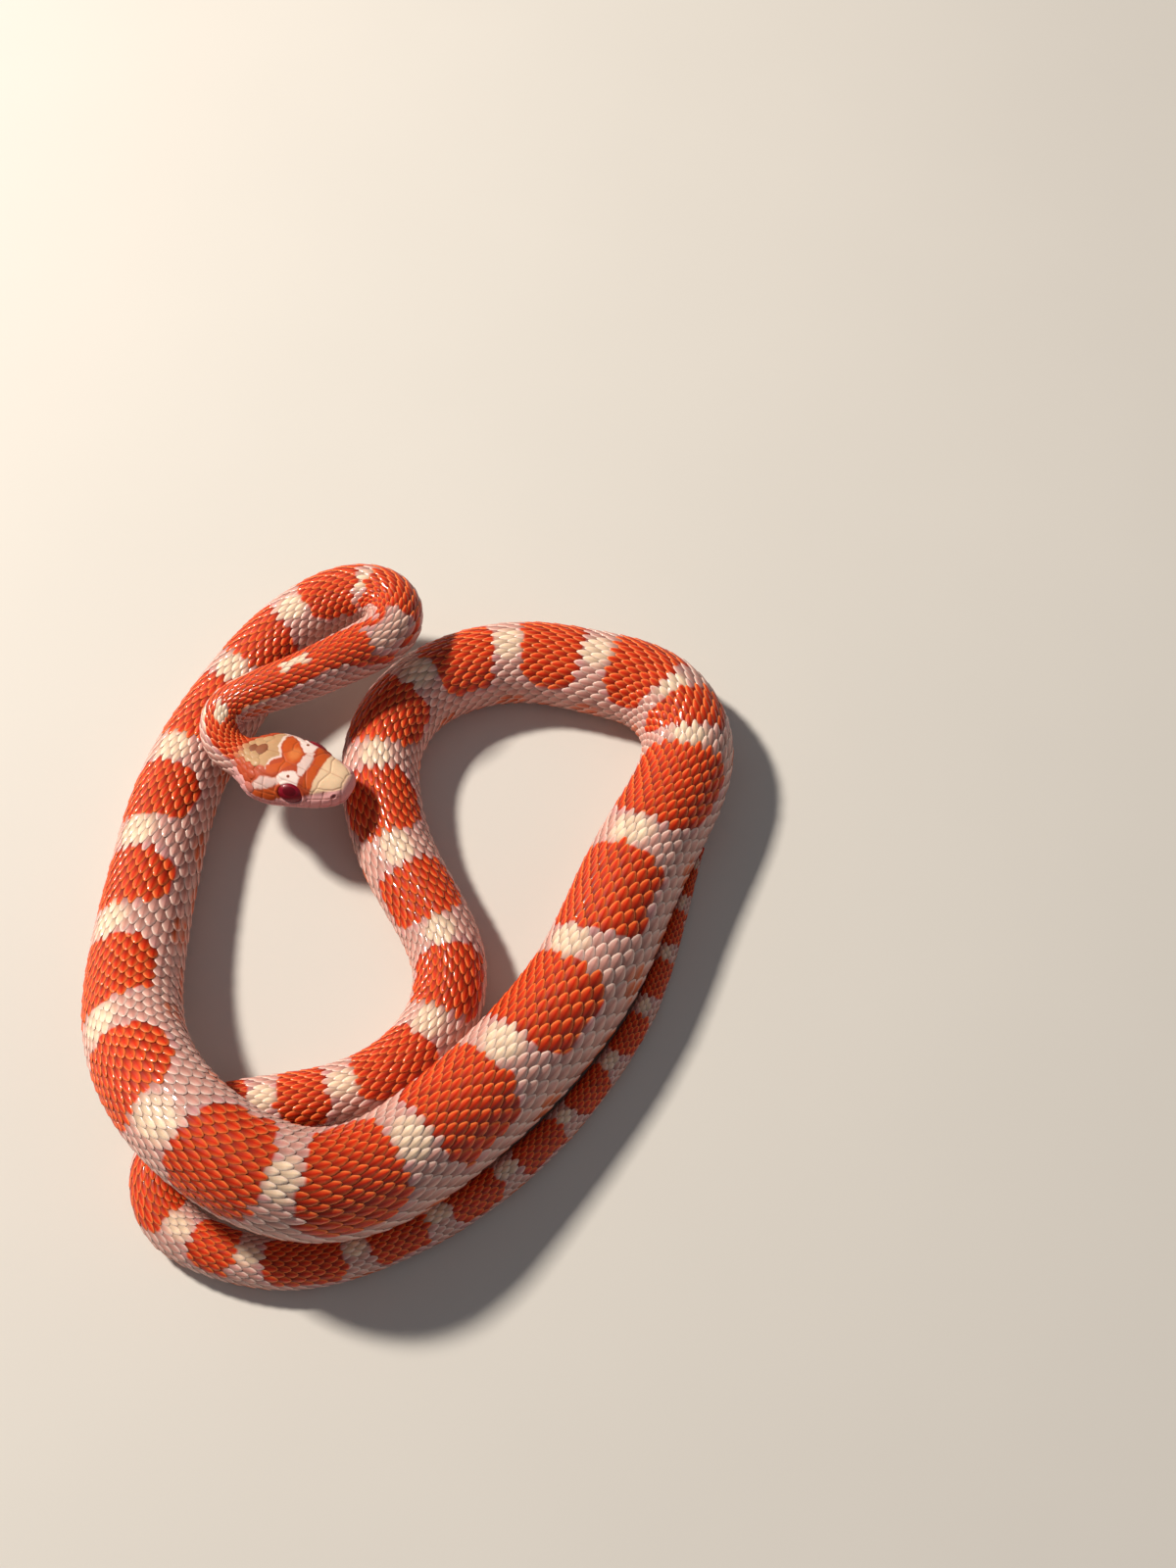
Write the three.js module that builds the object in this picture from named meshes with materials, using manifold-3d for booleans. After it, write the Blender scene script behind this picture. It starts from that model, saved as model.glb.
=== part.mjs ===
// Corn snake resting in loose, overlapping coils, life size, as a still display model.
// Millimetres, +Z up. The snout points to +X and a little to -Y.
// The origin is the middle of the floor area that the animal covers.
// The body is one tapering tube along a route over the floor, cut across into lengths.

import * as THREE from 'three';
import { mergeVertices } from 'three/addons/utils/BufferGeometryUtils.js';
import Module from 'manifold-3d';

// Driving dimensions
const GAP = 0.3;                  // clearance between two pieces that meet
const HEAD_LENGTH = 27;           // snout to the nape
const HEAD_ROLL = -14;            // degrees, left side of the head lower than the right
const ROLL_ENDS = 48;             // the twist of the head has faded out here
const NECK_END = 70;
const BODY_LENGTHS = 11;
const BODY_STEP = 56;
const TAIL_LENGTHS = 3;
const BELLY_DROP = 0.8;           // middle of the body to the flat belly, in radii
const SECTION_STEPS = 14;         // steps round the back, from belly edge to belly edge
const RING_STEP = 5.5;
const NECK_RING_STEP = 2.2;
const MIDDLE_X = 3.5;             // middle of the covered floor area in the route's own numbers
const MIDDLE_Y = 1.8;

const EYE = { u: 10.8, v: 6.6, w: 1.35, long: 2.75, deep: 2.05, high: 2.55 };
const NOSTRIL = { u: 2.0, v: 5.0, w: 0.7, radius: 0.5 };
const LIP_OVERHANG = 0.35;        // the upper lip stands out over the lower jaw

// Route of the body from snout to tail tip: x, y, and height of the belly over the floor
const HEAD_AND_NECK = [
  [-11.2, 25.4, 18.1], [-20.0, 28.5, 17.3], [-28.5, 31.5, 16.5], [-36.0, 34.1, 16.0],
  [-40.6, 37.9, 17.0], [-40.9, 43.4, 18.2], [-37.0, 47.0, 19.0], [-30.6, 49.6, 19.4],
  [-22.6, 53.0, 19.3], [-14.8, 57.4, 18.9],
];
const TURN_OVER_HIND_BODY = [
  [-8.0, 61.8, 18.3], [-3.8, 67.0, 17.4], [-4.3, 73.3, 15.9], [-9.6, 77.4, 14.0],
  [-18.6, 76.8, 11.2],
];
const LEFT_SIDE = [
  [-28.6, 70.6, 7.8], [-37.6, 61.0, 3.8], [-46.4, 47.0, 0.9], [-52.4, 31.4, 0.0],
  [-55.2, 14.0, 0.0], [-56.8, -4.0, 0.9], [-56.4, -21.0, 4.2], [-52.6, -35.2, 9.8],
];
const NEAR_SIDE = [
  [-44.5, -48.4, 14.6], [-32.0, -59.2, 15.4], [-17.0, -64.6, 12.8], [-2.0, -60.8, 8.3],
  [11.5, -50.0, 4.6], [24.5, -36.5, 2.0],
];
const RIGHT_SIDE = [
  [35.5, -22.3, 0.6], [43.8, -7.5, 0.0], [50.6, 9.4, 0.0], [58.0, 24.6, 0.0],
  [63.6, 39.4, 0.0], [61.8, 51.3, 0.0],
];
const FAR_SIDE = [
  [54.0, 59.5, 0.0], [41.2, 63.8, 0.0], [27.5, 66.3, 0.0], [13.0, 64.2, 0.0], [0.5, 56.5, 0.0],
];
const INNER_BEND = [
  [-6.0, 43.5, 0.0], [-5.6, 29.0, 0.0], [-1.4, 15.5, 0.0], [5.2, 3.2, 0.0], [10.4, -9.4, 0.0],
  [9.4, -22.4, 0.0], [1.8, -33.0, 0.0], [-10.0, -39.8, 0.0], [-25.0, -42.6, 0.0],
  [-39.5, -45.3, 0.0], [-48.0, -53.3, 0.0],
];
const TAIL = [
  [-47.0, -65.0, 0.0], [-37.0, -72.7, 0.0], [-22.0, -76.2, 0.0], [-7.0, -74.0, 0.0],
  [8.8, -67.2, 0.0], [22.9, -57.6, 0.0], [35.0, -46.0, 0.0], [45.6, -32.4, 0.0],
  [53.7, -18.5, 0.0], [59.0, -3.9, 0.0], [63.3, 9.5, 0.0], [67.3, 21.4, 0.0],
];
const ROUTE = [
  ...HEAD_AND_NECK, ...TURN_OVER_HIND_BODY, ...LEFT_SIDE, ...NEAR_SIDE,
  ...RIGHT_SIDE, ...FAR_SIDE, ...INNER_BEND, ...TAIL,
];

// Girth: distance from the snout, and radius there
const GIRTH = [
  [0, 4.9], [27, 4.7], [40, 4.9], [57, 5.7], [86, 6.6], [110, 7.7], [133, 8.7], [181, 9.8],
  [229, 10.7], [315, 11.7], [381, 11.5], [429, 10.4], [477, 9.5], [534, 8.8], [610, 7.5],
  [705, 5.1], [796, 3.1], [822, 2.2], [840, 0.6],
];

// Sections of the head: distance behind the snout, half width, top, mouth line, underside
const HEAD_SECTIONS = [
  { u: 0.0, half: 2.3, top: 0.5, mouth: -1.0, under: -1.5 },
  { u: 0.35, half: 3.3, top: 1.2, mouth: -1.1, under: -2.0 },
  { u: 1.1, half: 4.4, top: 1.9, mouth: -1.2, under: -2.4 },
  { u: 2.4, half: 5.3, top: 2.5, mouth: -1.3, under: -2.8 },
  { u: 4.2, half: 6.2, top: 3.0, mouth: -1.4, under: -3.2 },
  { u: 6.5, half: 7.0, top: 3.6, mouth: -1.5, under: -3.6 },
  { u: 9.0, half: 7.7, top: 4.2, mouth: -1.5, under: -3.9 },
  { u: 11.5, half: 8.3, top: 4.7, mouth: -1.5, under: -4.2 },
  { u: 14.0, half: 8.8, top: 5.0, mouth: -1.5, under: -4.5 },
  { u: 16.5, half: 9.2, top: 5.2, mouth: -1.4, under: -4.7 },
  { u: 19.0, half: 9.1, top: 5.3, mouth: -1.1, under: -4.8 },
  { u: 21.5, half: 8.4, top: 5.2, mouth: -0.9, under: -4.8 },
  { u: 24.0, half: 7.0, top: 5.1, mouth: -0.8, under: -4.5 },
  { u: 26.85, half: 5.3, top: 4.9, mouth: -0.6, under: -4.1 },
];
const GAPE = 20.5;                // corner of the mouth, distance behind the snout
const JAW_END = 24.0;             // underside of the lower jaw ends here
const UPPER_POINTS = 8;           // points of a section from the top to the mouth line
const LOWER_POINTS = 5;
const SQUARENESS = 2.4;           // power of the rounded box that a head section is

// Smooth curve through a list of points

function curveControls(points) {
  const rounds = 12;
  const controls = points.map((p) => [...p]);
  const last = points.length - 1;
  for (let round = 0; round < rounds; round += 1) {
    const before = controls.map((p) => [...p]);
    for (let i = 1; i < last; i += 1) {
      for (let axis = 0; axis < 3; axis += 1) {
        const passed = (before[i - 1][axis] + 4 * before[i][axis] + before[i + 1][axis]) / 6;
        controls[i][axis] = before[i][axis] + points[i][axis] - passed;
      }
    }
  }
  return controls;
}

function curvePoint(controls, t) {
  const last = controls.length - 1;
  const i = Math.min(Math.floor(t), last - 1);
  const f = t - i;
  const weights = [
    (1 - f) ** 3 / 6,
    (3 * f ** 3 - 6 * f ** 2 + 4) / 6,
    (-3 * f ** 3 + 3 * f ** 2 + 3 * f + 1) / 6,
    f ** 3 / 6,
  ];
  const point = [0, 0, 0];
  weights.forEach((weight, k) => {
    const j = i + k - 1;
    for (let axis = 0; axis < 3; axis += 1) {
      let value;
      if (j < 0) value = 2 * controls[0][axis] - controls[1][axis];
      else if (j > last) value = 2 * controls[last][axis] - controls[last - 1][axis];
      else value = controls[j][axis];
      point[axis] += weight * value;
    }
  });
  return point;
}

// Table value at a distance, on a smooth curve through the table's rows
function smoothTable(rows, s) {
  const last = rows.length - 1;
  let i = 0;
  while (i < last - 1 && s > rows[i + 1][0]) i += 1;
  const slope = (k) => {
    const a = rows[Math.max(k - 1, 0)];
    const b = rows[Math.min(k + 1, last)];
    return (b[1] - a[1]) / (b[0] - a[0]);
  };
  const [s0, v0] = rows[i];
  const [s1, v1] = rows[i + 1];
  const span = s1 - s0;
  const f = THREE.MathUtils.clamp((s - s0) / span, 0, 1);
  const rise = f * f * (3 - 2 * f);
  const bend = f * (1 - f) * span;
  return v0 + (v1 - v0) * rise + bend * ((1 - f) * slope(i) - f * slope(i + 1));
}

// Middle line of the body, measured along its length

const SAMPLES_PER_SPAN = 24;
const controls = curveControls(ROUTE);
const trace = [];
const traceLength = [0];
for (let k = 0; k <= (ROUTE.length - 1) * SAMPLES_PER_SPAN; k += 1) {
  const [x, y, belly] = curvePoint(controls, k / SAMPLES_PER_SPAN);
  trace.push(new THREE.Vector3(x - MIDDLE_X, y - MIDDLE_Y, Math.max(belly, 0)));
  if (k > 0) traceLength.push(traceLength[k - 1] + trace[k].distanceTo(trace[k - 1]));
}
const LENGTH = traceLength[traceLength.length - 1];

function radiusAt(s) {
  return smoothTable(GIRTH, s);
}

function centreAt(s) {
  const wanted = THREE.MathUtils.clamp(s, 0, LENGTH);
  let k = 0;
  while (k < trace.length - 2 && traceLength[k + 1] < wanted) k += 1;
  const f = (wanted - traceLength[k]) / (traceLength[k + 1] - traceLength[k]);
  const centre = trace[k].clone().lerp(trace[k + 1], f);
  centre.z += BELLY_DROP * radiusAt(wanted);
  return centre;
}

// Frame of the body at a distance from the snout: middle, left side and upward direction
function frameAt(s) {
  const reach = 0.8;
  const ahead = centreAt(s + reach);
  const behind = centreAt(s - reach);
  const along = ahead.sub(behind).normalize();
  const up = new THREE.Vector3(0, 0, 1).addScaledVector(along, -along.z).normalize();
  const left = new THREE.Vector3().crossVectors(along, up);
  const fade = 1 - THREE.MathUtils.smoothstep(s, HEAD_LENGTH, ROLL_ENDS);
  const roll = THREE.MathUtils.degToRad(HEAD_ROLL) * fade;
  const rolledLeft = left.clone().multiplyScalar(Math.cos(roll)).addScaledVector(up, Math.sin(roll));
  const rolledUp = up.clone().multiplyScalar(Math.cos(roll)).addScaledVector(left, -Math.sin(roll));
  return { centre: centreAt(s), left: rolledLeft, up: rolledUp };
}

function bendToBody(u, v, w) {
  const frame = frameAt(u);
  return frame.centre.clone().addScaledVector(frame.left, v).addScaledVector(frame.up, w);
}

// Closed solids from rings of points

function signedVolume(points, triangles) {
  let volume = 0;
  for (const [a, b, c] of triangles) {
    volume += points[a].dot(new THREE.Vector3().crossVectors(points[b], points[c])) / 6;
  }
  return volume;
}

function solidFrom(points, triangles) {
  const outward = signedVolume(points, triangles) > 0;
  const geometry = new THREE.BufferGeometry();
  geometry.setAttribute('position', new THREE.Float32BufferAttribute(points.flatMap((p) => p.toArray()), 3));
  geometry.setIndex(triangles.flatMap(([a, b, c]) => (outward ? [a, b, c] : [a, c, b])));
  return geometry;
}

function loft(rings) {
  const count = rings[0].length;
  const points = rings.flat();
  const triangles = [];
  for (let r = 0; r < rings.length - 1; r += 1) {
    for (let i = 0; i < count; i += 1) {
      const a = r * count + i;
      const b = r * count + ((i + 1) % count);
      triangles.push([a, b, b + count], [a, b + count, a + count]);
    }
  }
  const capRing = (start, flip) => {
    const middle = points.length;
    const centre = new THREE.Vector3();
    for (let i = 0; i < count; i += 1) centre.addScaledVector(points[start + i], 1 / count);
    points.push(centre);
    for (let i = 0; i < count; i += 1) {
      const a = start + i;
      const b = start + ((i + 1) % count);
      triangles.push(flip ? [middle, b, a] : [middle, a, b]);
    }
  };
  capRing(0, true);
  capRing((rings.length - 1) * count, false);
  return solidFrom(points, triangles);
}

// Lengths of the body: round over the back, flat under the belly

function bodyRing(s) {
  const radius = radiusAt(s);
  const edge = Math.acos(-BELLY_DROP);
  const ring = [];
  for (let i = 0; i <= SECTION_STEPS; i += 1) {
    const angle = -edge + (2 * edge * i) / SECTION_STEPS;
    ring.push(bendToBody(s, radius * Math.sin(angle), radius * Math.cos(angle)));
  }
  ring.push(bendToBody(s, 0, -BELLY_DROP * radius));
  return ring;
}

function bodyLength(start, end, ringStep) {
  const from = start + GAP / 2;
  const to = end - GAP / 2;
  const steps = Math.ceil((to - from) / ringStep);
  const rings = [];
  for (let k = 0; k <= steps; k += 1) rings.push(bodyRing(from + ((to - from) * k) / steps));
  return loft(rings);
}

// Head, first shaped straight along its own axis: u behind the snout, v to the left, w up

function headRing({ u, half, top, mouth, under }) {
  const right = [];
  for (let i = 0; i <= UPPER_POINTS; i += 1) {
    const angle = (Math.PI / 2) * (i / UPPER_POINTS);
    const v = half * Math.sin(angle) ** (2 / SQUARENESS);
    const w = mouth + (top - mouth) * Math.max(Math.cos(angle), 0) ** (2 / SQUARENESS);
    right.push([v, w]);
  }
  for (let i = 0; i <= LOWER_POINTS; i += 1) {
    const angle = (Math.PI / 2) * (i / LOWER_POINTS);
    const v = (half - LIP_OVERHANG) * Math.max(Math.cos(angle), 0) ** (2 / SQUARENESS);
    const w = mouth - GAP - (mouth - GAP - under) * Math.sin(angle) ** (2 / SQUARENESS);
    right.push([v, w]);
  }
  const left = right.slice(1, -1).reverse().map(([v, w]) => [-v, w]);
  return [...right, ...left].map(([v, w]) => new THREE.Vector3(u, v, w));
}

const wasm = await Module();
wasm.setup();

function toSolid(geometry) {
  const bare = geometry.clone();
  bare.deleteAttribute('normal');
  bare.deleteAttribute('uv');
  const merged = mergeVertices(bare);
  const vertProperties = new Float32Array(merged.attributes.position.array);
  const triVerts = new Uint32Array(merged.index.array);
  return new wasm.Manifold(new wasm.Mesh({ numProp: 3, vertProperties, triVerts }));
}

// A straight head solid set on the body's curved front end
function fromHeadSolid(solid) {
  const mesh = solid.getMesh();
  const points = [];
  for (let i = 0; i < mesh.vertProperties.length; i += mesh.numProp) {
    const [u, v, w] = mesh.vertProperties.slice(i, i + 3);
    points.push(bendToBody(u, v, w));
  }
  const triangles = [];
  for (let i = 0; i < mesh.triVerts.length; i += 3) triangles.push([...mesh.triVerts.slice(i, i + 3)]);
  return solidFrom(points, triangles);
}

function ellipsoid(u, v, w, long, deep, high) {
  const geometry = new THREE.SphereGeometry(1, 20, 14);
  geometry.rotateX(Math.PI / 2);
  geometry.scale(long, deep, high);
  geometry.translate(u, v, w);
  return geometry;
}

// Space of the lower jaw: below the mouth line and ahead of the throat, grown by a margin
function jawSpace(margin) {
  const reach = 14;
  const outline = new THREE.Shape();
  outline.moveTo(-2, -reach);
  outline.lineTo(-2, HEAD_SECTIONS[0].mouth - GAP + margin);
  for (const { u, mouth } of HEAD_SECTIONS) {
    if (u < GAPE) outline.lineTo(u, mouth - GAP + margin);
  }
  outline.lineTo(GAPE + margin, -1.0 - GAP + margin);
  outline.lineTo(JAW_END + margin, -reach);
  const geometry = new THREE.ExtrudeGeometry(outline, { depth: 2 * reach, bevelEnabled: false });
  geometry.rotateX(Math.PI / 2);
  geometry.translate(0, reach, 0);
  return geometry;
}

function eyeShape(side, margin) {
  return ellipsoid(EYE.u, side * EYE.v, EYE.w, EYE.long + margin, EYE.deep + margin, EYE.high + margin);
}

function nostrilCut(side) {
  const { u, v, w, radius } = NOSTRIL;
  return ellipsoid(u, side * v, w, radius * 1.3, radius * 1.6, radius);
}

const wholeHead = toSolid(loft(HEAD_SECTIONS.map(headRing)));
let skull = wholeHead.subtract(toSolid(jawSpace(GAP)));
for (const side of [-1, 1]) {
  skull = skull.subtract(toSolid(eyeShape(side, GAP)));
  skull = skull.subtract(toSolid(nostrilCut(side)));
}
const jaw = wholeHead.intersect(toSolid(jawSpace(0)));

// Materials

const skinRed = new THREE.MeshStandardMaterial({ color: 0xc24a22, roughness: 0.42, metalness: 0 });
const skinPale = new THREE.MeshStandardMaterial({ color: 0xe6b8a0, roughness: 0.45, metalness: 0 });
const eyeRed = new THREE.MeshStandardMaterial({ color: 0x8e0a1c, roughness: 0.08, metalness: 0 });

// The animal

const group = new THREE.Group();

function addPiece(name, geometry, material) {
  const mesh = new THREE.Mesh(geometry, material);
  mesh.name = name;
  group.add(mesh);
}

addPiece('head', fromHeadSolid(skull), skinRed);
addPiece('lower_jaw', fromHeadSolid(jaw), skinPale);
addPiece('eye_left', fromHeadSolid(toSolid(eyeShape(1, 0))), eyeRed);
addPiece('eye_right', fromHeadSolid(toSolid(eyeShape(-1, 0))), eyeRed);
addPiece('neck', bodyLength(HEAD_LENGTH, NECK_END, NECK_RING_STEP), skinRed);
for (let k = 0; k < BODY_LENGTHS; k += 1) {
  const start = NECK_END + k * BODY_STEP;
  const ringStep = k === 0 ? NECK_RING_STEP : RING_STEP;
  const name = `body_${String(k + 1).padStart(2, '0')}`;
  addPiece(name, bodyLength(start, start + BODY_STEP, ringStep), skinRed);
}
const tailStart = NECK_END + BODY_LENGTHS * BODY_STEP;
const tailStep = (LENGTH - tailStart) / TAIL_LENGTHS;
for (let k = 0; k < TAIL_LENGTHS; k += 1) {
  const start = tailStart + k * tailStep;
  addPiece(`tail_${k + 1}`, bodyLength(start, start + tailStep, RING_STEP), skinRed);
}

export default group;
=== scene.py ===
"""Life-size corn snake at rest in loose coils: skin, scales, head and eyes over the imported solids."""

import math

import bpy
import numpy as np
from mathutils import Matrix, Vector


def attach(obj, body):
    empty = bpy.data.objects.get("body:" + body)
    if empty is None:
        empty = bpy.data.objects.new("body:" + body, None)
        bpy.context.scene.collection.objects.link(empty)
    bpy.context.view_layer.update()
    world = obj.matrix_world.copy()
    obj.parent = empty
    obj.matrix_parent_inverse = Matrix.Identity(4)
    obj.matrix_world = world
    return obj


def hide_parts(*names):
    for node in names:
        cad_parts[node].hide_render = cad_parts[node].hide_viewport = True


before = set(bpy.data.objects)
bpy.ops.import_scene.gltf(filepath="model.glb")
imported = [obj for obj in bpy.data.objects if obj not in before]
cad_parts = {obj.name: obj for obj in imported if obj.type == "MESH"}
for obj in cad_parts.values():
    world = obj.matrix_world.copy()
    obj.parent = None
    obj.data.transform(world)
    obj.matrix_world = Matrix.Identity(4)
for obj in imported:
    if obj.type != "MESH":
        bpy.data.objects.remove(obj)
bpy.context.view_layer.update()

bl_info = {
    "name": "Corn snake",
    "version": (1, 0, 0),
    "blender": (4, 5, 0),
    "location": "View3D > Sidebar > Corn snake",
    "description": "Skin, scales, head and eyes of a life-size corn snake over its solids",
    "category": "Add Mesh",
}

# The body's route and girth, in millimetres, as the solids have them
MM = 0.001
MIDDLE = np.array([3.5, 1.8, 0.0])
HEAD_AND_NECK = [
    (-11.2, 25.4, 18.1), (-20.0, 28.5, 17.3), (-28.5, 31.5, 16.5), (-36.0, 34.1, 16.0),
    (-40.6, 37.9, 17.0), (-40.9, 43.4, 18.2), (-37.0, 47.0, 19.0), (-30.6, 49.6, 19.4),
    (-22.6, 53.0, 19.3), (-14.8, 57.4, 18.9),
]
TURN_OVER_HIND_BODY = [
    (-8.0, 61.8, 18.3), (-3.8, 67.0, 17.4), (-4.3, 73.3, 15.9), (-9.6, 77.4, 14.0),
    (-18.6, 76.8, 11.2),
]
LEFT_SIDE = [
    (-28.6, 70.6, 7.8), (-37.6, 61.0, 3.8), (-46.4, 47.0, 0.9), (-52.4, 31.4, 0.0),
    (-55.2, 14.0, 0.0), (-56.8, -4.0, 0.9), (-56.4, -21.0, 4.2), (-52.6, -35.2, 9.8),
]
NEAR_SIDE = [
    (-44.5, -48.4, 14.6), (-32.0, -59.2, 15.4), (-17.0, -64.6, 12.8), (-2.0, -60.8, 8.3),
    (11.5, -50.0, 4.6), (24.5, -36.5, 2.0),
]
RIGHT_SIDE = [
    (35.5, -22.3, 0.6), (43.8, -7.5, 0.0), (50.6, 9.4, 0.0), (58.0, 24.6, 0.0),
    (63.6, 39.4, 0.0), (61.8, 51.3, 0.0),
]
FAR_SIDE = [
    (54.0, 59.5, 0.0), (41.2, 63.8, 0.0), (27.5, 66.3, 0.0), (13.0, 64.2, 0.0), (0.5, 56.5, 0.0),
]
INNER_BEND = [
    (-6.0, 43.5, 0.0), (-5.6, 29.0, 0.0), (-1.4, 15.5, 0.0), (5.2, 3.2, 0.0), (10.4, -9.4, 0.0),
    (9.4, -22.4, 0.0), (1.8, -33.0, 0.0), (-10.0, -39.8, 0.0), (-25.0, -42.6, 0.0),
    (-39.5, -45.3, 0.0), (-48.0, -53.3, 0.0),
]
TAIL = [
    (-47.0, -65.0, 0.0), (-37.0, -72.7, 0.0), (-22.0, -76.2, 0.0), (-7.0, -74.0, 0.0),
    (8.8, -67.2, 0.0), (22.9, -57.6, 0.0), (35.0, -46.0, 0.0), (45.6, -32.4, 0.0),
    (53.7, -18.5, 0.0), (59.0, -3.9, 0.0), (63.3, 9.5, 0.0), (67.3, 21.4, 0.0),
]
ROUTE = (
    HEAD_AND_NECK + TURN_OVER_HIND_BODY + LEFT_SIDE + NEAR_SIDE
    + RIGHT_SIDE + FAR_SIDE + INNER_BEND + TAIL
)
# Distance from the snout, radius
GIRTH = [
    (0, 4.9), (27, 4.7), (40, 4.9), (57, 5.7), (86, 6.6), (110, 7.7), (133, 8.7), (181, 9.8),
    (229, 10.7), (315, 11.7), (381, 11.5), (429, 10.4), (477, 9.5), (534, 8.8), (610, 7.5),
    (705, 5.1), (796, 3.1), (822, 2.2), (840, 0.6),
]
BELLY_DROP = 0.8                # middle of the body to the flat belly, in radii
BELLY_EDGE = math.acos(-BELLY_DROP)
CORNER_POWER = 12.0             # how tightly the flank turns into the belly
HEAD_LENGTH = 27.0
HEAD_ROLL = math.radians(-14)
ROLL_ENDS = 48.0
NAPE = (22.5, 30.0)             # the head's section turns into the body's between these distances

# Head sections: distance behind the snout, half width, top, mouth line, underside
NOSE_REACH = 0.25               # the rounded nose stands this far ahead of the first section
HEAD_SECTIONS = [
    (-0.25, 0.0, -0.5, -0.5, -0.5), (0.0, 2.3, 0.5, -1.0, -1.5), (0.35, 3.3, 1.2, -1.1, -2.0),
    (1.1, 4.4, 1.9, -1.2, -2.4), (2.4, 5.3, 2.5, -1.3, -2.8), (4.2, 6.2, 3.0, -1.4, -3.2),
    (6.5, 7.0, 3.6, -1.5, -3.6), (9.0, 7.7, 4.2, -1.5, -3.9), (11.5, 8.3, 4.7, -1.5, -4.2),
    (14.0, 8.8, 5.0, -1.5, -4.5), (16.5, 9.2, 5.2, -1.4, -4.7), (19.0, 9.1, 5.3, -1.1, -4.8),
    (21.5, 8.4, 5.2, -0.9, -4.8), (24.0, 7.0, 5.1, -0.8, -4.5), (27.0, 5.3, 4.9, -0.6, -4.1),
    (31.0, 4.9, 4.8, -0.6, -4.0),
]
ROUNDNESS = 2 / 2.4             # power that makes a head section a rounded box
LIP_OVERHANG = 0.35
MOUTH_GAP = 0.3
GAPE = 20.5
EYE_PLACE = (11.1, 6.85, 1.05)
EYE_SIZE = (3.2, 1.9, 2.3)
EYE_SINK = 0.4                  # how far the eyeball's middle lies inside its place
EYE_TILT = math.radians(22)     # how far the eye looks up
EYE_RISE = math.radians(18)     # how far the eye's length rises towards the back
EYE_SPREAD = 0.24               # how much further out the back of the eye lies, as the cheek does
EYE_OPENING = (2.8, 1.75)
NOSTRIL_PLACE = (2.1, 0.85)

# The coat: rows of scales round the back and their step along the body
SCALE_ROWS = [
    (18, 19), (40, 21), (86, 23), (133, 25), (181, 27), (240, 29), (420, 29), (534, 26), (610, 23),
    (705, 17), (750, 14), (796, 11.5), (822, 9.5), (840, 7),
]
SCALE_STEP = [
    (15, 1.9), (40, 2.3), (60, 2.6), (100, 3.0), (130, 3.25), (160, 3.6), (190, 4.0), (215, 3.7),
    (240, 3.15), (265, 3.15), (295, 3.6), (325, 3.95), (355, 4.1), (385, 3.9), (410, 3.55),
    (435, 3.4), (460, 3.6), (500, 3.7), (550, 3.5), (650, 3.0), (720, 2.5), (780, 2.1), (840, 1.6),
]
FIRST_SCALE = 19.5
FIRST_SCUTE = 24.0
LAST_SCALE = 838.0
SCALE_OVERLAP = 1.48            # length of a scale, in steps
SCALE_SPREAD = 1.55             # width of a scale, in rows
FLANK_WIDENING = 0.27           # lower rows are this much wider than the middle ones
COAT_ZONES = {
    "scales_neck": (0, 125), "scales_front": (125, 232), "scales_middle": (232, 326),
    "scales_waist": (326, 430), "scales_hind": (430, 615), "scales_tail": (615, 900),
}

# Pale bands between the saddles: distance, half length, how far down each side in radians
BANDS = [
    (38.0, 2.4, 0.32), (57.5, 3.4, 0.24), (79.0, 4.4, 0.62), (96.5, 1.4, 0.7), (115.0, 3.4, 4.0),
    (135.0, 3.6, 4.0), (159.0, 4.2, 4.0), (181.0, 4.2, 4.0), (204.0, 4.4, 4.0),
    (232.0, 4.4, 4.0), (257.0, 4.6, 4.0), (281.0, 3.0, 4.0), (307.0, 4.2, 4.0),
    (337.0, 4.4, 4.0), (367.0, 4.4, 4.0), (397.0, 4.2, 4.0), (425.0, 2.6, 4.0),
    (439.0, 2.4, 4.0), (459.0, 3.6, 4.0), (480.0, 3.6, 4.0), (502.0, 3.6, 4.0),
    (525.0, 3.6, 4.0), (549.0, 4.2, 4.0), (571.0, 3.6, 4.0), (593.0, 3.4, 4.0),
    (616.0, 3.2, 4.0), (633.0, 3.0, 4.0), (655.0, 3.0, 4.0), (676.0, 3.2, 4.0),
    (692.0, 3.0, 4.0), (714.0, 2.8, 4.0), (732.0, 2.6, 4.0), (749.0, 2.5, 4.0),
    (766.0, 2.4, 4.0), (782.0, 2.3, 4.0), (797.0, 2.2, 4.0), (811.0, 2.0, 4.0),
    (824.0, 1.8, 4.0), (835.0, 1.6, 4.0),
]
# How far the middle line of the pattern lies to the left of the top, in degrees
LEAN = [
    (0, 0), (46, 0), (58, -14), (68, 0), (79, 34), (88, 10), (97, -8), (106, 0), (150, 12),
    (204, 32), (232, 33), (257, 26), (281, 16), (307, 5), (337, -12), (367, -28), (397, -16),
    (425, 0), (840, 0),
]
# How far the saddles reach down each side, in radians
SADDLE_REACH = [(0, 0.95), (60, 0.98), (110, 1.1), (160, 1.2), (600, 1.2), (720, 1.35), (840, 1.5)]
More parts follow.
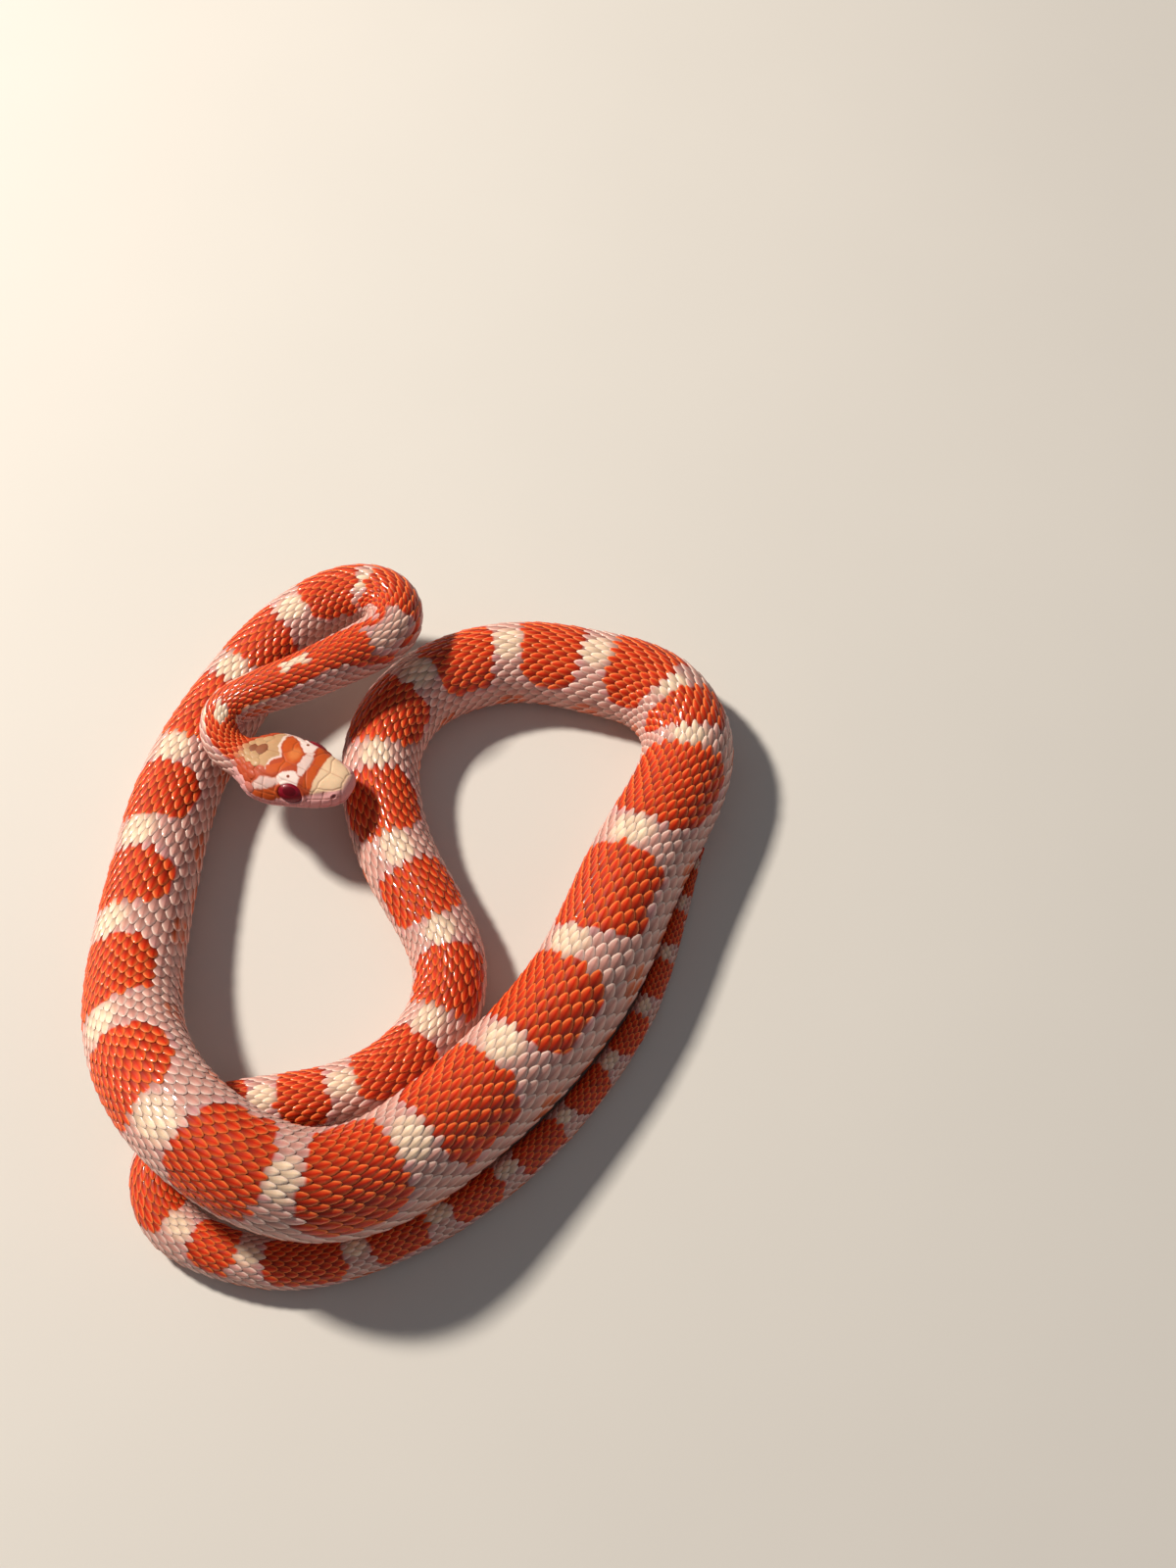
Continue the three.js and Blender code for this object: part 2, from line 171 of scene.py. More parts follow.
# Oval patches: distance, half length, angle, half angle
NECK_STRIPE = (43.5, 10.5, 0.86, 0.17)
NECK_PATCH = (46.0, 4.6, 1.42, 0.26)
SIDE_BLOTCH = (0.0, 4.0, 1.78, 0.34)    # this one and the next lie at a distance from each pale band
LOW_BLOTCH = (11.5, 4.0, 2.12, 0.26)
BLOTCHES_START = (105, 125)
PAINTED_SHADE_BAND = (79.0, 7.0)         # painted shade: the band on the turn of the neck has hardly any cream, so it looks grey-lilac as in shade
LIGHT_ANGLE = 0.45              # how far the cream of a band reaches down each side
SADDLE_CORNER = (0.42, 4.2)     # rounding of a saddle's corners, in radii and at most in millimetres
EDGE_SLOPE = 0.25
BORDER_WIDTH = 1.3              # of the pink line round a saddle


def smoothstep(x, low, high):
    """0 below low, 1 above high, and a smooth rise between."""
    t = np.clip((x - low) / (high - low), 0.0, 1.0)
    return t * t * (3.0 - 2.0 * t)


def swell(x, width):
    """1 at zero, falling off smoothly over the given width to both sides."""
    return np.exp(-((x / width) ** 2))


def smooth_table(rows, at):
    """Values at the given places, on a smooth curve through rows of (place, value, value, ...)."""
    table = np.array(rows, float)
    at = np.asarray(at, float)
    x = table[:, 0]
    values = table[:, 1:]
    last = len(x) - 1
    i = np.clip(np.searchsorted(x, at, side="left") - 1, 0, last - 1)
    after = np.minimum(np.arange(last + 1) + 1, last)
    before = np.maximum(np.arange(last + 1) - 1, 0)
    slope = (values[after] - values[before]) / (x[after] - x[before])[:, None]
    span = (x[i + 1] - x[i])[..., None]
    f = np.clip((at - x[i])[..., None] / span, 0.0, 1.0)
    rise = f * f * (3.0 - 2.0 * f)
    bend = f * (1.0 - f) * span * ((1.0 - f) * slope[i] - f * slope[i + 1])
    result = values[i] + (values[i + 1] - values[i]) * rise + bend
    return result[..., 0] if result.shape[-1] == 1 else result


def ripple(x, y, seed):
    """Smooth wandering values between about -1 and 1."""
    total = 0.0
    for k, (fx, fy) in enumerate(((0.9, 0.4), (-0.5, 1.1), (1.7, -1.3), (0.3, 2.3))):
        total = total + np.sin(fx * x + fy * y + seed * (k + 1.7)) / (1.0 + 0.5 * k)
    return total / 2.6


def curve_controls(points):
    """Control points of the smooth curve that passes through the given points."""
    controls = points.copy()
    for _ in range(12):
        passed = (controls[:-2] + 4 * controls[1:-1] + controls[2:]) / 6
        controls[1:-1] += points[1:-1] - passed
    return controls


def curve_trace(points, samples):
    """Points along the smooth curve through the given points."""
    controls = curve_controls(points)
    first = 2 * controls[0] - controls[1]
    final = 2 * controls[-1] - controls[-2]
    padded = np.vstack([first, controls, final])
    t = np.arange((len(points) - 1) * samples + 1) / samples
    i = np.minimum(t.astype(int), len(points) - 2)
    f = (t - i)[:, None]
    weights = (
        (1 - f) ** 3 / 6,
        (3 * f**3 - 6 * f**2 + 4) / 6,
        (-3 * f**3 + 3 * f**2 + 3 * f + 1) / 6,
        f**3 / 6,
    )
    return sum(weight * padded[i + k] for k, weight in enumerate(weights))


def make_trace():
    """The belly line of the body and the distance from the snout at each of its points."""
    line = curve_trace(np.array(ROUTE, float), 24) - MIDDLE
    line[:, 2] = np.maximum(line[:, 2], 0.0)
    steps = np.linalg.norm(np.diff(line, axis=0), axis=1)
    return line, np.concatenate([[0.0], np.cumsum(steps)])


BELLY_LINE, BELLY_DISTANCE = make_trace()
LENGTH = float(BELLY_DISTANCE[-1])


def girth(s):
    """Radius of the body at each distance."""
    return smooth_table(GIRTH, s)


def middle_line(s):
    """Middle of the body at each distance."""
    wanted = np.clip(s, 0.0, LENGTH)
    centre = np.stack([np.interp(wanted, BELLY_DISTANCE, BELLY_LINE[:, k]) for k in range(3)], -1)
    centre[..., 2] += BELLY_DROP * girth(wanted)
    return centre


def make_frames():
    """Middle, left side and upward direction at close steps along the body."""
    s = np.arange(0.0, LENGTH + 0.2, 0.2)
    along = middle_line(s + 0.8) - middle_line(s - 0.8)
    along /= np.linalg.norm(along, axis=1, keepdims=True)
    up = np.array([0.0, 0.0, 1.0]) - along * along[:, 2:3]
    up /= np.linalg.norm(up, axis=1, keepdims=True)
    left = np.cross(along, up)
    roll = HEAD_ROLL * (1.0 - smoothstep(s, HEAD_LENGTH, ROLL_ENDS))[:, None]
    rolled_left = left * np.cos(roll) + up * np.sin(roll)
    rolled_up = up * np.cos(roll) - left * np.sin(roll)
    return s, np.hstack([middle_line(s), along, rolled_left, rolled_up])


FRAME_DISTANCE, FRAMES = make_frames()


def frames_at(s):
    """Middle, tailward direction, left and up at each distance."""
    wanted = np.clip(s, 0.0, LENGTH)
    columns = [np.interp(wanted, FRAME_DISTANCE, FRAMES[:, k]) for k in range(12)]
    rows = np.stack(columns, -1)
    middle, along, left, up = (rows[..., k:k + 3] for k in (0, 3, 6, 9))
    past_end = (s - wanted)[..., None]
    return middle + along * past_end, left, up


def head_section(s, a):
    """Point of the head's section at angle a from the top, as left and up parts."""
    root = np.sqrt(np.clip(s, -NOSE_REACH, 31.0) + NOSE_REACH)
    rows = [(math.sqrt(row[0] + NOSE_REACH),) + row[1:] for row in HEAD_SECTIONS]
    half, top, mouth, under = np.moveaxis(smooth_table(rows, root), -1, 0)
    closed = 1.0 - smoothstep(s, GAPE - 1.0, GAPE + 2.0)
    overhang = LIP_OVERHANG * closed * smoothstep(s, -0.2, 0.6)
    gap = MOUTH_GAP * closed * smoothstep(s, -0.2, 0.6)
    across = np.abs(np.sin(a)) ** ROUNDNESS * np.sign(np.sin(a))
    rise = np.abs(np.cos(a)) ** ROUNDNESS
    upper = np.cos(a) >= 0
    left = np.where(upper, half, half - overhang) * across
    lower_up = mouth - gap - (mouth - gap - under) * rise
    return left, np.where(upper, mouth + (top - mouth) * rise, lower_up)


def section(s, a):
    """Point of the bare section at angle a from the top, as left and up parts."""
    radius = girth(s)
    flat = BELLY_DROP / np.maximum(-np.cos(a), 0.001)
    reach = radius * (1.0 + flat**-CORNER_POWER) ** (-1.0 / CORNER_POWER)
    share = smoothstep(s, *NAPE)
    head_left, head_up = head_section(s, a)
    left = head_left * (1.0 - share) + reach * np.sin(a) * share
    up = head_up * (1.0 - share) + reach * np.cos(a) * share
    return left, up


def bare_point(s, a):
    """Point of the solids' surface at distance s and angle a from the top, towards the left."""
    middle, left, up = frames_at(s)
    v, w = section(s, a)
    return middle + left * v[..., None] + up * w[..., None]


def outward(s, a):
    """Outward direction of the surface."""
    ds = 0.15
    da = 0.02
    tailward = bare_point(s + ds, a) - bare_point(s - ds, a)
    round_left = bare_point(s, a + da) - bare_point(s, a - da)
    normal = np.cross(round_left, tailward)
    return normal / np.maximum(np.linalg.norm(normal, axis=-1, keepdims=True), 1e-9)


def surface_point(s, a, lift):
    """Point that stands lift outside the solids' surface."""
    return bare_point(s, a) + outward(s, a) * lift[..., None]


def nearest_band(s):
    """Distance from the nearest pale band, its half length and its reach."""
    bands = np.array(BANDS)
    gates = (bands[1:, 0] + bands[:-1, 0]) / 2
    k = np.searchsorted(gates, s)
    return s - bands[k, 0], bands[k, 1], bands[k, 2]


def oval(along, turn, shift, patch, full=0.85):
    """1 inside an oval patch, 0 outside it, with an edge moved by shift."""
    place, half_length, angle, half_angle = patch
    reach = np.hypot((along - place) / half_length, (turn - angle) / half_angle) + 0.12 * shift
    return 1.0 - smoothstep(reach, full, 1.1)


def pattern_masks(s, a, shift):
    """Shares of the colours at each place.

    saddle is 0.5 on the edge of a saddle and rises by EDGE_SLOPE for each millimetre inside it.
    shift moves the edges of the markings by that many millimetres, so that they follow the scales.
    """
    radius = girth(s)
    turn = a - np.radians(smooth_table(LEAN, s))
    turn = np.abs((turn + math.pi) % (2 * math.pi) - math.pi)
    from_band, half, reach = nearest_band(s)
    half = half * (1.0 + 0.3 * smoothstep(turn, 0.5, 1.1)) + 0.5 * ripple(s * 0.3, turn * 4, 3.0)
    saddle_reach = smooth_table(SADDLE_REACH, s)
    along = np.maximum(np.abs(from_band) - half, (turn - reach) * radius) + shift
    across = (saddle_reach - turn) * radius + 0.8 * ripple(s * 0.35, a * 3, 5.0) + shift
    corner = np.minimum(SADDLE_CORNER[0] * radius, SADDLE_CORNER[1])
    rounded = corner - np.hypot(corner - along, corner - across)
    inside = np.where((along < corner) & (across < corner), rounded, np.minimum(along, across))
    saddle = np.clip(0.5 + EDGE_SLOPE * inside, 0.0, 1.0)
    border = 0.3 + 0.7 * smoothstep(ripple(s * 0.45, a * 2.2, 9.0), -0.5, 0.3)
    light_at = np.hypot(from_band / np.maximum(half, 1.0), turn / LIGHT_ANGLE) + 0.15 * shift
    light = 1.0 - smoothstep(light_at, 0.65, 1.2)
    # painted shade: most of the cream is taken out of the band on the turn of the neck
    light = light * (1.0 - 0.8 * swell(s - PAINTED_SHADE_BAND[0], PAINTED_SHADE_BAND[1]))
    light = np.maximum(light, oval(s, np.abs(a), shift, NECK_STRIPE, 0.8))
    side_blotch = oval(np.abs(from_band), turn, shift, SIDE_BLOTCH)
    low_blotch = oval(np.abs(from_band), turn, shift, LOW_BLOTCH)
    blotch = np.maximum(side_blotch, low_blotch) * smoothstep(s, *BLOTCHES_START)
    blotch = np.maximum(blotch, oval(s, np.abs(a), shift, NECK_PATCH))
    belly = smoothstep(np.abs(a), BELLY_EDGE - 0.16, BELLY_EDGE)
    return {"saddle": saddle, "border": border, "light": light, "blotch": blotch, "belly": belly}


def clear_selection():
    """Leaves edit mode and deselects everything."""
    if bpy.context.object and bpy.context.object.mode != "OBJECT":
        bpy.ops.object.mode_set(mode="OBJECT")
    bpy.ops.object.select_all(action="DESELECT")


def select_only(*objects):
    """Selects these objects and makes the first one active."""
    clear_selection()
    for item in objects:
        item.select_set(True)
    bpy.context.view_layer.objects.active = objects[0]


def add_sheet(name, across, along):
    """A flat grid whose vertices carry their column and row numbers, ready to be wrapped."""
    clear_selection()
    bpy.ops.mesh.primitive_grid_add(x_subdivisions=across, y_subdivisions=along, size=1.0)
    sheet = bpy.context.object
    sheet.name = name
    places = read_points(sheet)
    column = np.rint((places[:, 0] + 0.5) * across).astype(int)
    row = np.rint((places[:, 1] + 0.5) * along).astype(int)
    return sheet, column, row


def read_points(item):
    """Vertex places of a mesh object."""
    points = np.empty(len(item.data.vertices) * 3, np.float32)
    item.data.vertices.foreach_get("co", points)
    return points.reshape(-1, 3).astype(float)


def write_points(item, points):
    """Sets the vertex places of a mesh object."""
    item.data.vertices.foreach_set("co", points.astype(np.float32).ravel())
    item.data.update()


def write_shares(mesh, shares):
    """Stores named values at the vertices of a mesh."""
    for name, values in shares.items():
        layer = mesh.attributes.new(name, "FLOAT", "POINT")
        layer.data.foreach_set("value", np.asarray(values, np.float32).ravel())


def close_seams(item, distance=0.002 * MM):
    """Merges the doubles where a wrapped sheet meets itself and turns its faces outwards."""
    select_only(item)
    bpy.ops.object.mode_set(mode="EDIT")
    bpy.ops.mesh.select_all(action="SELECT")
    bpy.ops.mesh.remove_doubles(threshold=distance)
    bpy.ops.mesh.normals_make_consistent(inside=False)
    bpy.ops.object.mode_set(mode="OBJECT")
    bpy.ops.object.shade_smooth()


def join_copies(name, points, corners, sizes):
    """One mesh object of many copies of a piece, from the points of each copy in millimetres."""
    copies, number = points.shape[:2]
    faces = corners[None, :] + (np.arange(copies) * number)[:, None]
    sizes = np.tile(sizes, copies)
    mesh = bpy.data.meshes.new(name)
    mesh.vertices.add(copies * number)
    mesh.vertices.foreach_set("co", (points * MM).astype(np.float32).ravel())
    mesh.loops.add(faces.size)
    mesh.loops.foreach_set("vertex_index", faces.astype(np.int32).ravel())
    mesh.polygons.add(len(sizes))
    starts = np.concatenate([[0], np.cumsum(sizes)[:-1]])
    mesh.polygons.foreach_set("loop_start", starts.astype(np.int32))
    mesh.polygons.foreach_set("use_smooth", np.ones(len(sizes), bool))
    mesh.update(calc_edges=True)
    mesh.validate()
    item = bpy.data.objects.new(name, mesh)
    bpy.context.collection.objects.link(item)
    return item


# Skin

HEAD_UPPER_COLUMNS = 78         # columns of the skin from the top of the head to the mouth, each side
HEAD_LOWER_COLUMNS = 44
BODY_COLUMNS = 72
SKIN_JOIN = 24.0                # the fine skin of the head meets the skin of the body here
HEAD_SKIN_ROWS = 154
FINE_SKIN_ENDS = 110.0          # the rows of the neck's skin are closer together than the body's
COAT_START = (18.5, 23.5)       # the skin sinks from the solids to the coat's depth between these
MOST_DEPTH = 0.35               # the coat is at most this deep, in radii


def head_rows():
    """Distances of the rows of the head's skin, close together at the rounded nose."""
    nose = np.linspace(0.0, 1.2, 16) ** 2 - NOSE_REACH
    rest = np.linspace(nose[-1], SKIN_JOIN, HEAD_SKIN_ROWS)[1:]
    return np.concatenate([nose, rest])


def head_grid(rows):
    """Angle and distances round the section for each row and column of the head's skin."""
    fine = np.linspace(0.0, math.pi, 721)
    wanted_angle = np.empty((len(rows), HEAD_UPPER_COLUMNS + HEAD_LOWER_COLUMNS + 1))
    from_top = np.empty_like(wanted_angle)
    above_mouth = np.empty_like(wanted_angle)
    for i, u in enumerate(rows):
        v, w = section(np.full_like(fine, u), fine)
        arc = np.concatenate([[0.0], np.cumsum(np.hypot(np.diff(v), np.diff(w)))])
        arc += np.linspace(0.0, 1e-6, len(arc))
        mouth = np.interp(math.pi / 2, fine, arc)
        wanted = np.concatenate([
            np.linspace(0.0, mouth, HEAD_UPPER_COLUMNS + 1),
            np.linspace(mouth, arc[-1], HEAD_LOWER_COLUMNS + 1)[1:],
        ])
        wanted_angle[i] = np.interp(wanted, arc, fine)
        from_top[i] = wanted
        above_mouth[i] = mouth - wanted
    return wanted_angle, from_top, above_mouth


def make_head_skin():
    """The skin of the head, open towards the body."""
    rows = head_rows()
    angle, from_top, above_mouth = head_grid(rows)
    half = HEAD_UPPER_COLUMNS + HEAD_LOWER_COLUMNS
    head, column, row = add_sheet("skin", 2 * half, len(rows) - 1)
    side = np.where(column >= half, 1.0, -1.0)
    place = np.abs(column - half)
    u = rows[row]
    a = angle[row, place] * side
    top_distance = from_top[row, place]
    mouth_height = above_mouth[row, place]
    v, w = section(u, a)
    relief = head_relief(u, side, top_distance, mouth_height, v, w)
    points = surface_point(u, a, relief)
    points[row == 0] = bare_point(np.array([-NOSE_REACH]), np.array([0.0]))[0]
    write_points(head, points * MM)
    write_shares(head.data, pattern_masks(u, a, np.zeros_like(u)))
    write_shares(head.data, head_masks(u, side * top_distance, mouth_height))
    close_seams(head)
    return head


def make_body_skin():
    """The skin of the body and tail, open towards the head."""
    steps = np.concatenate([
        np.arange(SKIN_JOIN + 0.6, FINE_SKIN_ENDS, 1.1), np.arange(FINE_SKIN_ENDS, LENGTH - 2.0, 2.0),
        LENGTH - np.array([1.4, 0.9, 0.5, 0.2, 0.0]),
    ])
    body, column, row = add_sheet("skin_body", BODY_COLUMNS, len(steps) - 1)
    s = steps[row]
    a = (column / BODY_COLUMNS * 2.0 - 1.0) * math.pi
    points = surface_point(s, a, -coat_depth(s))
    points[row == len(steps) - 1] = middle_line(np.array([LENGTH]))[0]
    write_points(body, points * MM)
    write_shares(body.data, pattern_masks(s, a, np.zeros_like(s)))
    close_seams(body)
    return body


def make_skin():
    """One closed skin from the nose to the tip of the tail."""
    head = make_head_skin()
    body = make_body_skin()
    select_only(head, body)
    bpy.ops.object.join()
    bpy.ops.object.mode_set(mode="EDIT")
    bpy.ops.mesh.select_all(action="DESELECT")
    bpy.ops.mesh.select_mode(type="EDGE")
    bpy.ops.mesh.select_non_manifold(extend=False, use_wire=False, use_multi_face=False,
                                     use_non_contiguous=False, use_verts=False)
    bpy.ops.mesh.bridge_edge_loops()
    bpy.ops.mesh.select_all(action="SELECT")
    bpy.ops.mesh.normals_make_consistent(inside=False)
    bpy.ops.object.mode_set(mode="OBJECT")
    bpy.ops.object.shade_smooth()
    return head


def coat_depth(s):
    """How far the skin lies inside the solids: nothing at the face, the coat's depth on the body."""
    depth = bpy.context.scene.snake_coat.depth / MM
    radius = girth(np.clip(s, 0.0, LENGTH))
    return np.minimum(depth * smoothstep(s, *COAT_START), MOST_DEPTH * radius)


# Head: seams between its shields, as distance behind the snout and distance from the top line
TOP_SEAMS = [
    [(1.3, 0.0), (1.4, 1.2), (1.15, 2.2), (0.85, 3.3)],
    [(1.15, 2.2), (2.5, 3.7), (4.2, 4.5), (5.8, 4.9)],
    [(4.6, 0.0), (5.2, 1.8), (5.8, 3.4), (5.8, 4.9)],
    [(9.2, 0.0), (9.4, 2.1)],
    [(9.4, 2.1), (8.7, 4.2), (7.7, 6.3)],
    [(5.8, 4.9), (6.4, 6.2), (7.7, 6.3)],
    [(9.4, 2.1), (11.6, 1.95), (14.4, 1.8), (16.0, 0.0)],
    [(7.7, 6.3), (9.2, 6.0), (11.2, 6.0), (13.4, 6.2), (14.7, 5.6)],
    [(14.4, 1.8), (14.9, 3.6), (14.7, 5.6)],
    [(14.7, 5.6), (15.6, 6.4), (18.0, 6.4), (20.4, 5.3), (22.2, 2.9), (21.4, 0.0)],
]
MIDDLE_SEAMS = [(1.3, 9.2), (16.0, 21.4)]
SHIELDS_END = (20.5, 23.0)      # the seams fade out into the scales of the nape between these
# Short seams across the lips: distance at the mouth, then distance and height where they end
UPPER_LIP_SEAMS = [
    (2.5, 2.3, 1.9), (4.6, 4.3, 1.95), (6.8, 6.5, 2.0), (9.2, 9.0, 1.1), (11.9, 11.8, 0.9),
    (14.5, 14.0, 2.3), (17.5, 17.2, 2.55),
]
LOWER_LIP_SEAMS = [
    (0.9, 1.1, 1.4), (2.9, 3.0, 1.6), (4.9, 5.1, 1.7), (7.2, 7.4, 1.8), (9.8, 10.0, 1.9),
    (12.8, 13.0, 1.95), (15.8, 16.0, 1.95), (18.4, 18.6, 1.65),
]
# Seams of the cheek, as distance behind the snout and height over the mouth
CHEEK_SEAMS = [[(foot, 0.0), (place, height)] for foot, place, height in UPPER_LIP_SEAMS] + [
    [(0.8, 0.0), (0.85, 2.0), (3.0, 1.9), (5.0, 2.0), (7.4, 2.0), (8.3, 1.3)],
    [(13.2, 1.5), (14.2, 2.4), (16.6, 2.6), (19.4, 2.3), (20.8, 0.9)],
    [(4.1, 1.95), (4.2, 3.6)],
    [(6.5, 2.0), (6.4, 3.6)],
    [(13.3, 3.1), (14.6, 3.3), (17.4, 4.1), (20.6, 4.0), (22.5, 3.4)],
    [(14.6, 3.3), (14.5, 5.0)],
    [(17.4, 4.1), (17.0, 2.6)],
    [(17.4, 4.1), (17.6, 6.0)],
    [(20.0, 4.0), (19.6, 2.3)],
    [(20.4, 4.0), (20.8, 6.0)],
]
# Seams of the lower jaw, as distance behind the snout and distance below the mouth
JAW_SEAMS = [[(foot, 0.0), (place, height)] for foot, place, height in LOWER_LIP_SEAMS] + [
    [(0.9, 1.3), (4.0, 1.7), (9.0, 1.9), (15.0, 2.0), (19.0, 1.6), (20.5, 0.8)],
    [(2.0, 3.4), (7.0, 4.4), (12.5, 5.6)],
    [(7.0, 4.4), (7.0, 9.0)],
]


# Relief of the head, outwards from the solids
SHIELD_SWELL = 0.05
SEAM_DEPTH = 0.11
BROW_HEIGHT = 0.22
SOCKET_RIM = 0.16
SOCKET_DEPTH = 0.7
SNOUT_HOLLOW = 0.28
NOSTRIL_RIM = 0.10
NOSTRIL_DEPTH = 0.95
MOUTH_DEPTH = 0.5


def line_distance(x, y, line):
    """Shortest distance from each point to a line of straight pieces."""
    best = np.full(np.shape(x), 1e3)
    for (x0, y0), (x1, y1) in zip(line, line[1:]):
        dx = x1 - x0
        dy = y1 - y0
        t = np.clip(((x - x0) * dx + (y - y0) * dy) / (dx * dx + dy * dy), 0.0, 1.0)
        best = np.minimum(best, np.hypot(x - x0 - t * dx, y - y0 - t * dy))
    return best


def seam_distance(u, top_distance, mouth_height):
    """Distance from each point of the head to the nearest seam between shields."""
    best = np.full(np.shape(u), 1e3)
    for line in TOP_SEAMS:
        best = np.minimum(best, line_distance(u, top_distance, line))
    for start, end in MIDDLE_SEAMS:
        best = np.minimum(best, line_distance(u, top_distance, [(start, 0.0), (end, 0.0)]))
    for line in CHEEK_SEAMS:
        from_line = line_distance(u, mouth_height, line)
        best = np.minimum(best, np.where(mouth_height > -0.3, from_line, 1e3))
    for line in JAW_SEAMS:
        from_line = line_distance(u, -mouth_height, line)
        best = np.minimum(best, np.where(mouth_height < 0.1, from_line, 1e3))
    return best


def eye_distance(u, w):
    """1 at the edge of the eye's opening, less inside it."""
    back = u - EYE_PLACE[0]
    up = w - EYE_PLACE[2] - 0.15
    along = back * math.cos(EYE_RISE) + up * math.sin(EYE_RISE)
    across = up * math.cos(EYE_RISE) - back * math.sin(EYE_RISE)
    return np.hypot(along / EYE_OPENING[0], across / EYE_OPENING[1])


def head_relief(u, side, top_distance, mouth_height, v, w):
    """How far the head's skin stands out from the solid, with its seams, brow, socket and mouth."""
    seams = seam_distance(u, top_distance, mouth_height)
    relief = SHIELD_SWELL * (1.0 - np.exp(-seams / 0.7)) - SEAM_DEPTH * swell(seams, 0.14)
    relief = relief * (1.0 - smoothstep(u, *SHIELDS_END))
    over_eye = smoothstep(u, 7.6, 9.6) * (1.0 - smoothstep(u, 13.6, 15.2))
    relief += BROW_HEIGHT * swell(top_distance - 5.6, 0.75) * over_eye
    upper = mouth_height > 0.0
    opening = np.where(upper & (top_distance > 3.0), eye_distance(u, w), 9.0)
    relief += SOCKET_RIM * swell(opening - 1.15, 0.11)
    relief -= SOCKET_DEPTH * (1.0 - smoothstep(opening, 0.9, 1.02))
    snout_side = smoothstep(u, 2.5, 4.0) * (1.0 - smoothstep(u, 6.8, 8.6))
    relief -= SNOUT_HOLLOW * swell(mouth_height - 2.9, 0.9) * snout_side
    nostril = np.hypot(u - NOSTRIL_PLACE[0], (w - NOSTRIL_PLACE[1]) * 1.3)
    nostril = np.where(upper & (top_distance > 2.5), nostril, 9.0)
    relief += NOSTRIL_RIM * swell(nostril - 0.62, 0.2)
    relief -= NOSTRIL_DEPTH * (1.0 - smoothstep(nostril, 0.24, 0.5))
    closed = 1.0 - smoothstep(u, GAPE - 1.5, GAPE + 0.3)
    relief -= MOUTH_DEPTH * swell(mouth_height, 0.17) * closed * smoothstep(u, -NOSE_REACH, 0.1)
    return relief - coat_depth(u)


def blob(x, y, outline, blur):
    """1 inside a closed outline, 0 outside, with a soft edge."""
    inside = np.zeros(np.shape(x), bool)
    closed = list(outline) + [outline[0]]
    for (x0, y0), (x1, y1) in zip(closed, closed[1:]):
        crosses = (y0 > y) != (y1 > y)
        slant = (x1 - x0) * (y - y0) / (y1 - y0 if y1 != y0 else 1e-9) + x0
        inside ^= crosses & (x < slant)
    edge = line_distance(x, y, closed)
    return smoothstep(np.where(inside, edge, -edge), -blur, blur)


# Markings of the head, as distance behind the snout and signed distance from the top line
SNOUT_BAR = [
    (10.2, 6.7), (8.1, 5.0), (6.8, 4.4), (6.9, 1.2), (7.5, -0.9), (7.1, -3.2), (7.2, -5.6), (8.8, -6.2),
    (9.1, -4.2), (8.8, -2.1), (8.6, -0.2), (8.8, 1.3), (9.6, 4.0),
]
CROWN_BLOTCH = [
    (17.6, -5.7), (18.0, -4.2), (15.4, -2.8), (14.9, -0.9), (16.6, 1.2), (17.2, 4.6), (17.0, 7.2),
    (14.8, 5.2), (11.9, 1.6), (11.7, -0.5), (13.8, -3.4), (16.2, -5.9),
]
CROWN_OUTLINE = [(17.8, -4.9), (17.9, -2.7), (16.0, -0.8), (17.5, 1.6), (18.0, 5.4), (17.5, 7.4)]
CROWN_HEART = (13.6, 0.9)
NEAR_BROW = [
    (14.8, -5.8), (13.9, -4.4), (11.4, -3.4), (9.9, -4.4), (10.1, -6.3), (12.9, -7.4), (14.5, -7.0),
]
FAR_BROW = [(16.6, 7.4), (13.9, 7.6), (10.6, 7.0), (10.2, 3.2), (12.0, 2.3), (15.1, 6.0)]
PALE_BAR = [(11.5, 0.4), (11.3, 2.9), (9.8, 3.2), (9.2, -0.2), (9.6, -3.8), (10.8, -3.9), (11.7, -1.8)]
NAPE_TAN = [
    (28.5, -2.6), (25.8, -0.2), (24.1, 2.2), (22.1, 4.6), (19.8, 6.9), (17.8, 7.6), (17.5, 5.2),
    (17.3, 1.6), (16.2, -0.8), (17.8, -2.7), (18.1, -4.7), (20.7, -4.3), (23.4, -3.9), (28.5, -3.8),
]
NAPE_BLOTCH = [(24.6, -0.6), (22.6, 1.6), (20.3, 1.4), (20.2, -0.4), (21.4, -1.4), (23.4, -1.6)]
TEMPLE = [(20.4, 8.9), (18.4, 7.0), (14.7, 6.3), (13.9, 7.3), (16.2, 9.2), (19.6, 10.3)]
# Distance behind the snout and height over the mouth
CHEEK_STRIPE = [
    (12.4, 2.4), (13.2, 4.2), (15.4, 3.9), (18.6, 2.6), (22.5, 1.9), (22.5, 0.8), (18.4, 0.8), (14.6, 1.1),
]


